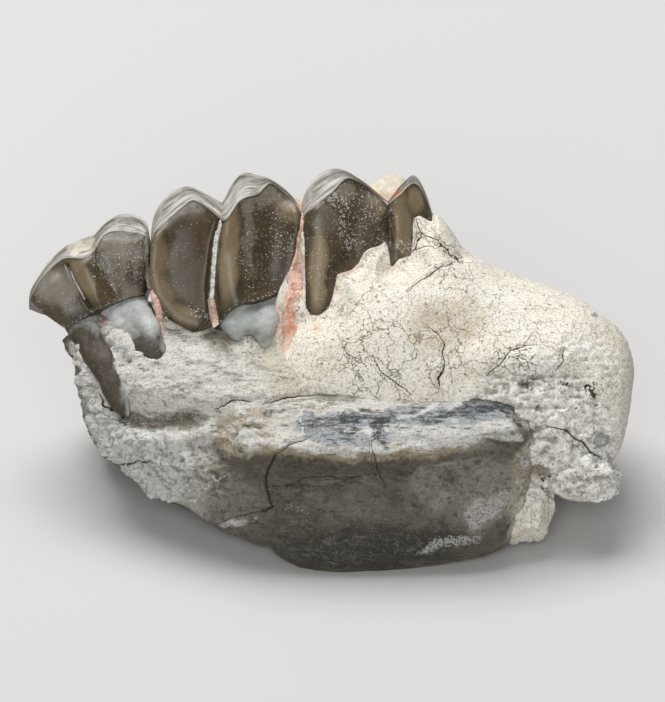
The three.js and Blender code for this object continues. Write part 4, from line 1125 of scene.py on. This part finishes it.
               [0.35, 0.5, [[-21.4, 11.2], [-20.4, 10.2], [-19.8, 9]]]],
    # cracks with one side raised: [height, reach, path]
    "steps": [[0.35, 1.6, [[-16.5, 5], [-13.8, 5.6], [-10.7, 6.4], [-7.9, 7], [-6.4, 7.7]]],
              [0.3, 1.2, [[-7.2, 8.7], [-7.4, 10.8], [-7.2, 12.1], [-6.1, 13.6], [-4.6, 14.6], [-2.5, 15.4]]],
              [-0.4, 1.2, [[-25.6, 13.8], [-24, 13.6], [-22, 13.9], [-20.4, 13.9]]],
              [0.25, 1.4, [[-12.6, 19.4], [-10.9, 20], [-7, 19.9], [-3, 20.4]]]],
}


def stepsOf(x, z, steps):
    # raises (+) or lowers (-) the left side of each path, fading away from it by e to the power of
    # minus the distance, and towards its ends by the root of a sine
    total = np.zeros(x.shape)
    for height, reach, path in steps:
        far, where = lineDistance(x, z, path)
        fade = np.exp(-np.abs(far) / reach) * np.sin(np.pi * where) ** 0.5
        total += height * fade * smoothStep(-0.06, 0.1, far)
    return total


def facingOf(normals):
    # how far each point faces the cheek side, and how far the palate side, each from 0 to 1
    return smoothStep(0.05, 0.4, -normals[:, 1]), smoothStep(0.3, -0.3, -normals[:, 1])


def buildBone(material, teeth):
    # one even skin over the bodies, raised along its normals: low swells, and on the broken places
    # bumps, ridges and slanting wrinkles of noise, sharp where they are 1 less twice the noise's size
    bodies = [railBody(jawBone["maxilla"], roundSection), railBody(jawBone["arch"], archSection),
              tube(jawBone["bed"])]
    points, quads = unite(bodies, detail["voxel"])
    points = relax(points, quads, detail["relaxRounds"])
    blend = patches(points[:, 0], points[:, 2], jawBone["blend"]) * (points[:, 1] < jawBone["blendDepth"])
    points = relax(points, quads, jawBone["blendRounds"], blend)
    points = relax(hugTeeth(points, teeth), quads, 2)
    normals = normalsOf(points, quads)
    front, behind = facingOf(normals)
    x, y, z = points.T
    lump = np.maximum(patches(x, z, jawBone["lumpy"]) * front, 0.3 * behind)
    bumps = fractal(points, *jawBone["noise"]["bumps"])
    ridges = 1 - 2 * np.abs(fractal(points, *jawBone["noise"]["ridges"]))
    slant = math.radians(jawBone["slant"])
    lengthwise = x * math.cos(slant) + z * math.sin(slant)
    across = z * math.cos(slant) - x * math.sin(slant)
    turned = np.stack([lengthwise, y, across], 1)
    wrinkles = 1 - 2 * np.abs(fractal(turned, *jawBone["noise"]["wrinkles"]))
    ripples = fractal(points, *jawBone["noise"]["ripples"])
    torn = ragged(points, *jawBone["torn"]["cracks"])
    cut, crackMasks = crackMarks(*torn, front, jawBone["cracks"])
    xTorn, zTorn = ragged(points, *jawBone["torn"]["veins"])
    vein = front * np.max([bell(lineDistance(xTorn, zTorn, path)[0] / 0.1) for path in jawBone["veins"]], 0)
    shadedPit = patches(x, z, jawBone["pits"]) * front
    rise = 0.12 * fractal(points, *jawBone["noise"]["swell"])
    rise += lump * (0.7 * bumps + 0.4 * ridges) + 0.08 * vein - cut - 0.4 * shadedPit
    rise += front * (reliefOf(x, z, jawBone["relief"]) + stepsOf(x, z, jawBone["steps"]))
    rise += 0.9 * fractal(points, *jawBone["noise"]["frontLumps"]) * smoothStep(-23.5, -27.5, x)
    rise += 0.4 * lump * wrinkles
    rise += (0.08 + np.minimum(lump, 0.6)) * ripples * front
    points = points + normals * rise[:, None]
    torn = ragged(points, *jawBone["torn"]["patches"])
    masks = {name: patches(*torn, spots) * front for name, spots in jawBone["patches"].items()}
    torn = ragged(points, *jawBone["torn"]["strokes"])
    masks.update({name: strokes(*torn, lines) * front for name, lines in jawBone["strokes"].items()})
    masks["pale"] = np.maximum(masks["pale"], 0.6 * behind)
    masks["tan"] = np.maximum(masks["tan"], 0.3 * behind)
    # painted shade: the pits, the dips of the ripples and the low places between bumps and folds are painted
    # darker, in the hollow colour
    dipShade = np.minimum(lump, 0.6) * np.maximum(-ripples, 0)
    folds = 0.4 * ridges + wrinkles
    hollow = shadedPit + 3 * dipShade - 1.4 * lump * (0.7 * bumps + folds + 0.2)
    masks["hollow"] = np.clip(hollow, 0, 0.85)
    # painted highlights: the crests of the bumps and wrinkles are painted white
    crestHighlights = np.clip(lump * (0.6 * bumps + folds - 0.45) * 3, 0, 1)
    crestHighlights *= np.clip(masks["pale"], 0, 1) * (1 - np.clip(masks["brown"], 0, 1))
    masks["crustAndHighlight"] = np.maximum(masks["crustAndHighlight"], crestHighlights)
    masks["vein"] = vein * 0.9
    masks.update(crackMasks)
    addPiece("jawBone", points, quads, masks, material, ["maxilla", "zygomatic_arch"])


# The siltstone: the bodies of its block and of the two lumps, built as the bone's, and what lies on
# their cheek side
silt = {
    "block": {
        "top": [[-8.6, 26], [-3.4, 30.6], [1.8, 37.2], [7, 40.2], [12.4, 39.2],
                [18, 35.6], [24, 33.3], [29.6, 31], [34.2, 27.2], [35.2, 23]],
        "bottom": [[-8.6, 20], [-3.4, 16], [2.3, 13], [8, 11], [13.8, 9.6],
                   [19.6, 9], [25, 8.4], [30, 10.4], [33.6, 13.8], [34.9, 21.4]],
        "front": [8.5, 6, 4.4, 3.6, 3.6, 3.8, 4, 5, 7.5, 12],
        "back": [26, 30, 32, 32, 31, 30, 28, 25, 21, 15],
        "lift": [4, 4, 3, 2, 1, 0, 1, 2, 2, 1], "height": 22, "frontPower": 1.9, "power": 2.9, "ends": 9,
        "rings": 110, "sides": 130,
    },
    "collar": {
        "top": [[2, 36], [5.4, 39.4], [9.4, 41.6], [12.7, 41], [15.6, 37.2], [18.2, 34.4]],
        "bottom": [[3, 32], [6.6, 31], [9.6, 30.4], [12.6, 30], [15.6, 30.6], [18, 32]],
        "front": [12, 11.2, 10.6, 10.4, 11, 12], "back": [17, 20, 24, 26, 24, 20],
        "lift": [0, 0], "height": 10, "frontPower": 2.2, "power": 2.2, "ends": 6, "rings": 60, "sides": 80,
    },
    "wedge": {
        "top": [[-2.6, 40.4], [-2.4, 36], [-2, 32], [-1.6, 29], [-4, 26]],
        "bottom": [[-3.6, 40.2], [-4.8, 35.6], [-6.6, 31.6], [-7.4, 28], [-7.8, 25]],
        "front": [12, 11.8, 11.6, 10.8, 9.6], "back": [17, 18, 19, 20, 21],
        "lift": [0, 0], "height": 2, "frontPower": 2.2, "power": 2.2, "ends": 6, "rings": 60, "sides": 60,
    },
    # flat broken faces of the two loose-looking lumps: [a point on it, the direction it faces]
    "planes": {
        "siltKnob": [[[28, 5.6, 12.4], [-0.3, -0.6, 0.75]], [[31.4, 6, 12.2], [0.5, -0.5, 0.85]],
                     [[32.9, 8, 10.8], [1, -0.35, 0.25]], [[29.4, 5.2, 10.6], [0.1, -1, -0.1]],
                     [[30.6, 6.4, 9], [0.45, -0.6, -0.8]], [[27, 6.6, 9.4], [-0.6, -0.6, -0.7]],
                     [[28.6, 9, 12.9], [-0.2, 0.1, 1]], [[32.4, 7, 9.4], [0.8, -0.3, -0.6]]],
        "siltFoot": [[[24.7, 7.4, 6.8], [1, -0.5, 0.1]], [[23, 6.2, 7], [0.25, -1, 0.3]],
                     [[21.6, 6.2, 5], [-0.5, -1, -0.3]], [[25, 9, 5], [1, 0.1, -0.45]],
                     [[23, 7.4, 4.2], [0.1, -0.5, -1]], [[24.4, 7, 9], [0.5, -0.5, 0.7]]],
    },
    "knob": {
        "top": [[25.4, 12.8], [27.6, 13.6], [30, 13.8], [32, 13.2], [33.4, 12]],
        "bottom": [[25.4, 9], [27.4, 8.2], [30, 8], [32.2, 8.2], [33.6, 9]],
        "front": [6, 4.4, 4.2, 4.6, 6], "back": [15, 16, 16, 15, 13],
        "lift": [1, 1], "height": 5, "frontPower": 2.6, "power": 2.6, "ends": 5, "rings": 60, "sides": 80,
    },
    "foot": {
        "top": [[19.6, 10.2], [22.5, 11], [25.8, 10.2]], "bottom": [[19, 2.6], [22.6, 2.6], [25.8, 3.2]],
        "front": [6.4, 5.2, 6.2], "back": [13, 13.6, 13],
        "lift": [4, 4], "height": 8, "frontPower": 3, "power": 3, "ends": 8, "rings": 60, "sides": 80,
    },
    "cracks": [
        [0.07, 0.12, [[9.6, 41.6], [10, 40.5], [10.5, 39.2], [13.3, 37.6], [15.1, 36.4]]],
        [0.09, 0.12, [[10.5, 39.2], [9.8, 37.3], [8.9, 36.6]]],
        [0.08, 0.1, [[9.4, 37.1], [11.3, 37.5], [13.3, 37.6]]],
        [0.06, 0.08, [[13.8, 37.4], [14.4, 36.6], [15.4, 36.1]]],
        [0.08, 0.1, [[14.6, 35.8], [13, 35.3], [11.7, 34.3], [10.7, 33.6], [8.9, 32.4]]],
        [0.1, 0.15, [[11.3, 28.3], [12.7, 27.3], [13.3, 26.3], [13, 25.3], [13.1, 23.8]]],
        [0.2, 0.3, [[13.1, 23.8], [12.8, 22.9], [12.3, 22.3], [12.4, 21.2]]],
        [0.08, 0.1, [[4.8, 25], [5.8, 23], [8, 21.3], [9.4, 20.4]]],
        [0.06, 0.06, [[1.4, 26.5], [2.2, 24.8], [3.4, 24.4], [4.4, 23.4]]],
        [0.1, 0.2, [[17.8, 22.3], [19.2, 23.7], [20.6, 25.3], [22.4, 25.9], [23.8, 26.1]]],
        [0.08, 0.12, [[21, 25], [22.4, 24.3], [22.9, 23]]],
        [0.1, 0.16, [[26.7, 25.5], [26.7, 24.1], [26, 23.3]]],
        [0.16, 0.3, [[24.8, 16.8], [27, 16.3], [28.4, 15.2], [29.3, 14.8], [30, 13.8], [31, 13.1],
                     [32.2, 12.9]]],
    ],
    # [x, z, radius x, radius z, turn, strength]
    "patches": {
        "rough": [[24.5, 17, 9, 7.6, -14, 1], [29, 11, 7, 4.4, 0, 1], [29, 22, 6, 6, 0, 0.3]],
        "shade": [[13.8, 28.6, 5, 3.6, 20, 0.5]],
        "pink": [[1.8, 34.5, 1.8, 0.5, 25, 0.5], [-4.3, 33.4, 1.2, 5.4, -10, 0.6],
                 [-5.6, 29.4, 2, 2.6, -15, 0.5], [6.2, 44, 1.2, 1, 0, 0.6]],
        "orange": [[-5, 28.4, 1, 4, -12, 0.55], [-2.4, 28.6, 2.6, 1.2, 20, 0.3],
                   [0.6, 32.3, 0.9, 0.5, 30, 0.5], [-1.6, 28.2, 1, 0.5, 20, 0.45]],
        "chip": [[31.7, 15.2, 1.1, 0.9, 30, 1], [30.4, 30.1, 0.6, 0.4, 0, 1]],
        "pitted": [[22.4, 21.6, 1.4, 0.5, 0, 1], [27.4, 21.3, 1.4, 0.6, -20, 1],
                   [30.4, 20.4, 0.9, 1.5, 10, 1.1], [28.4, 19, 1.4, 1, 0, 0.9],
                   [23.4, 19.6, 1, 0.6, -30, 0.9], [25, 11, 1.6, 1, 0, 0.9]],
        "hairline": [[6, 24, 6, 6, -20, 0.5], [13, 36, 5, 3, -40, 0.5], [13, 24, 4, 6, 0, 0.3],
                     [21, 24.6, 5, 3, 0, 0.5], [3, 31, 4, 3, 0, 0.3]],
    },
    # noise of the surface: size in mm, octaves, seed, gain
    "noise": {"swell": [7, 3, 41], "layers": [(2.8, 2.2, 0.9), 4, 31, 0.62],
              "flakes": [(1.7, 1.3, 0.9), 4, 35, 0.75], "crumbs": [(0.8, 0.8, 0.5), 3, 37, 0.8]},
    # how outlines are torn: reach in mm, size in mm, seed
    "torn": {"cracks": [0.35, 1.8, 93], "patches": [1.4, 3, 95]},
    # small holes, cut in and painted dark as shade: [x, z, radius x, radius z, turn, strength]
    "pits": [[22.4, 21.7, 0.6, 0.16, 0, 1], [26.9, 21.7, 0.25, 0.14, -40, 1], [30.7, 20.2, 0.18, 0.4, 10, 1],
             [30.9, 19.2, 0.15, 0.2, 0, 1], [23.9, 19, 0.2, 0.15, 0, 1]],
    # the recess is cut in and painted darker: painted shade
    "shadedRecess": [[24, 11.4, 1.6, 1, -15, 0.8]],
    "relief": [[2.4, 0.6, [[19, 24.5], [23, 24.2], [26, 25]]],
               [1, -0.5, [[20, 22.6], [23, 22], [26, 22.8], [29.4, 22.4]]],
               [0.6, -0.6, [[28.4, 21.2], [30.6, 20.4], [30.8, 19]]],
               [1.6, -0.5, [[12.4, 29], [14.6, 27.2]]],
               [0.8, 0.4, [[25, 14.6], [28.6, 13], [31.6, 11.4]]],
               [0.5, -0.5, [[10.4, 38.6], [13, 37.2], [15.6, 35.9]]]],
    "steps": [[0.5, 1.4, [[24.6, 16.9], [27, 16.3], [28.4, 15.2], [29.3, 14.8], [30, 13.8], [32.2, 12.9]]],
              [0.25, 1.2, [[13, 21.6], [12.9, 23], [13.2, 25.2], [12.7, 27.3]]],
              [0.2, 1, [[8.9, 32.4], [10.7, 33.6], [13, 35.3], [14.6, 35.8]]]],
}


def dressSilt(name, bodies, nodes, material, teeth=None):
    # one even skin over the bodies, raised along its normals: low swells, and on the broken places
    # layers and flakes, which are cut in by the size of the noise
    points, quads = unite([railBody(silt[body], roundSection) for body in bodies], detail["voxel"])
    points = relax(points, quads, detail["relaxRounds"])
    points = chisel(points, silt["planes"].get(name, []))
    if teeth:
        points = relax(hugTeeth(points, teeth), quads, 2)
    normals = normalsOf(points, quads)
    front, behind = facingOf(normals)
    x, z = points[:, 0], points[:, 2]
    rough = np.maximum(patches(x, z, silt["patches"]["rough"]) * front, 0.5 * behind)
    layers = np.abs(fractal(points, *silt["noise"]["layers"]))
    flakes = np.abs(fractal(points, *silt["noise"]["flakes"]))
    crumbs = fractal(points, *silt["noise"]["crumbs"])
    torn = ragged(points, *silt["torn"]["cracks"])
    cut, crackMasks = crackMarks(*torn, front, silt["cracks"])
    shadedPit = patches(x, z, silt["pits"]) * front
    shadedRecess = patches(x, z, silt["shadedRecess"]) * front
    rise = 0.18 * fractal(points, *silt["noise"]["swell"]) + 0.05 * crumbs
    rise -= cut + 0.45 * shadedPit + 1.1 * shadedRecess
    rise += front * (reliefOf(x, z, silt["relief"]) + stepsOf(x, z, silt["steps"]))
    rise += rough * (0.5 - 1.6 * layers - flakes + 0.4 * crumbs)
    points = points + normals * rise[:, None]
    torn = ragged(points, *silt["torn"]["patches"])
    masks = {key: patches(*torn, spots) * front for key, spots in silt["patches"].items()}
    # the rough face's white, made stronger on the raised crumbs: a painted highlight on their tops
    masks["rough"] = rough * (0.9 + crumbs)
    # painted shade: the places that the layers and flakes sink in are painted darker
    masks["hollow"] = np.clip(rough * (2 * layers + 3 * flakes - crumbs - 1), 0, 0.85)
    # painted shade: the holes, which are cut in, are painted near-black
    masks["shadedPit"] = smoothStep(0.2, 0.8, shadedPit)
    # painted shade in the recess
    masks["shadedRecess"] = shadedRecess
    masks.update(crackMasks)
    addPiece(name, points, quads, masks, material, nodes)


# The camera: the point it looks at, the width it sees there and its distance, all in mm, and its
# sensor in mm
view = {"middle": (0.29, 6, 25.4), "width": 76.5, "distance": 1200, "sensor": 36}


def setCamera():
    # looks straight along the jaw's own y, so the jaw is seen as it leans
    data = bpy.data.cameras.new("camera")
    data.sensor_fit = "HORIZONTAL"
    data.sensor_width = view["sensor"]
    data.lens = view["sensor"] * view["distance"] / view["width"]
    data.clip_end = 10
    camera = addObject("camera", data)
    x, y, z = view["middle"]
    camera.location = toWorld((x, y - view["distance"], z))
    camera.rotation_euler = (math.radians(90 - stance["lean"]), 0, 0)
    bpy.context.scene.camera = camera


def addLight(name, place, size, power):
    # a soft box that faces the fossil
    data = bpy.data.lights.new(name, "AREA")
    data.shape = "RECTANGLE"
    data.size, data.size_y = size
    data.energy = power
    lamp = addObject(name, data)
    lamp.location = place
    lamp.rotation_euler = (-Vector(place)).to_track_quat("-Z", "Y").to_euler()


# Half the floor's width in metres. lights: where each soft box hangs and its size in metres, and its
# power in watts
studio = {
    "floorHalf": 3, "paper": "#c3c2c0", "sky": "#e8ecf2", "skyStrength": 0.28,
    "lights": {"topBox": [(-0.12, 0.22, 0.6), (0.5, 0.4), 4.9],
               "frontFill": [(-0.02, -0.7, 0.42), (0.5, 0.5), 3.1]},
}


def paper(tree):
    # matt paper backdrop: no pattern, no shine
    return addNode(tree, "BsdfPrincipled", {"Base Color": linear(studio["paper"]), "Roughness": 0.9,
                                            "Specular IOR Level": 0.2})


def setStudio():
    # a square of pale paper under the fossil, a dim even sky and the soft boxes
    floorMesh = bpy.data.meshes.new("floor")
    half = studio["floorHalf"]
    corners = [(-half, -half, 0), (half, -half, 0), (half, half, 0), (-half, half, 0)]
    floorMesh.from_pydata(corners, [], [(0, 1, 2, 3)])
    floor = addObject("floor", floorMesh)
    floorMesh.materials.append(newMaterial("paleBackdropPaper", paper))
    world = bpy.data.worlds.new("studio")
    world.use_nodes = True
    sky = world.node_tree.nodes["Background"].inputs
    sky["Color"].default_value = linear(studio["sky"])
    sky["Strength"].default_value = studio["skyStrength"]
    bpy.context.scene.world = world
    for name, (place, size, power) in studio["lights"].items():
        addLight(name, place, size, power)
    print("camera, floor and lights set")


setCamera()
setStudio()
bpy.context.scene.view_settings.view_transform = "Standard"

enamelMaterial = newMaterial("polishedFossilEnamel", fossilEnamel)
boneMaterial = newMaterial("fossilBone", fossilBone)
siltMaterial = newMaterial("weatheredSiltstone", siltstone)
teethFront = buildMolars(enamelMaterial)
buildRoots(enamelMaterial)
buildStrips(siltMaterial, teethFront)
buildBone(boneMaterial, teethFront)
dressSilt("siltBlock", ["block", "collar", "wedge"], ["sediment_block"], siltMaterial, teethFront)
dressSilt("siltKnob", ["knob"], ["sediment_knob"], siltMaterial)
dressSilt("siltFoot", ["foot"], ["sediment_foot"], siltMaterial)
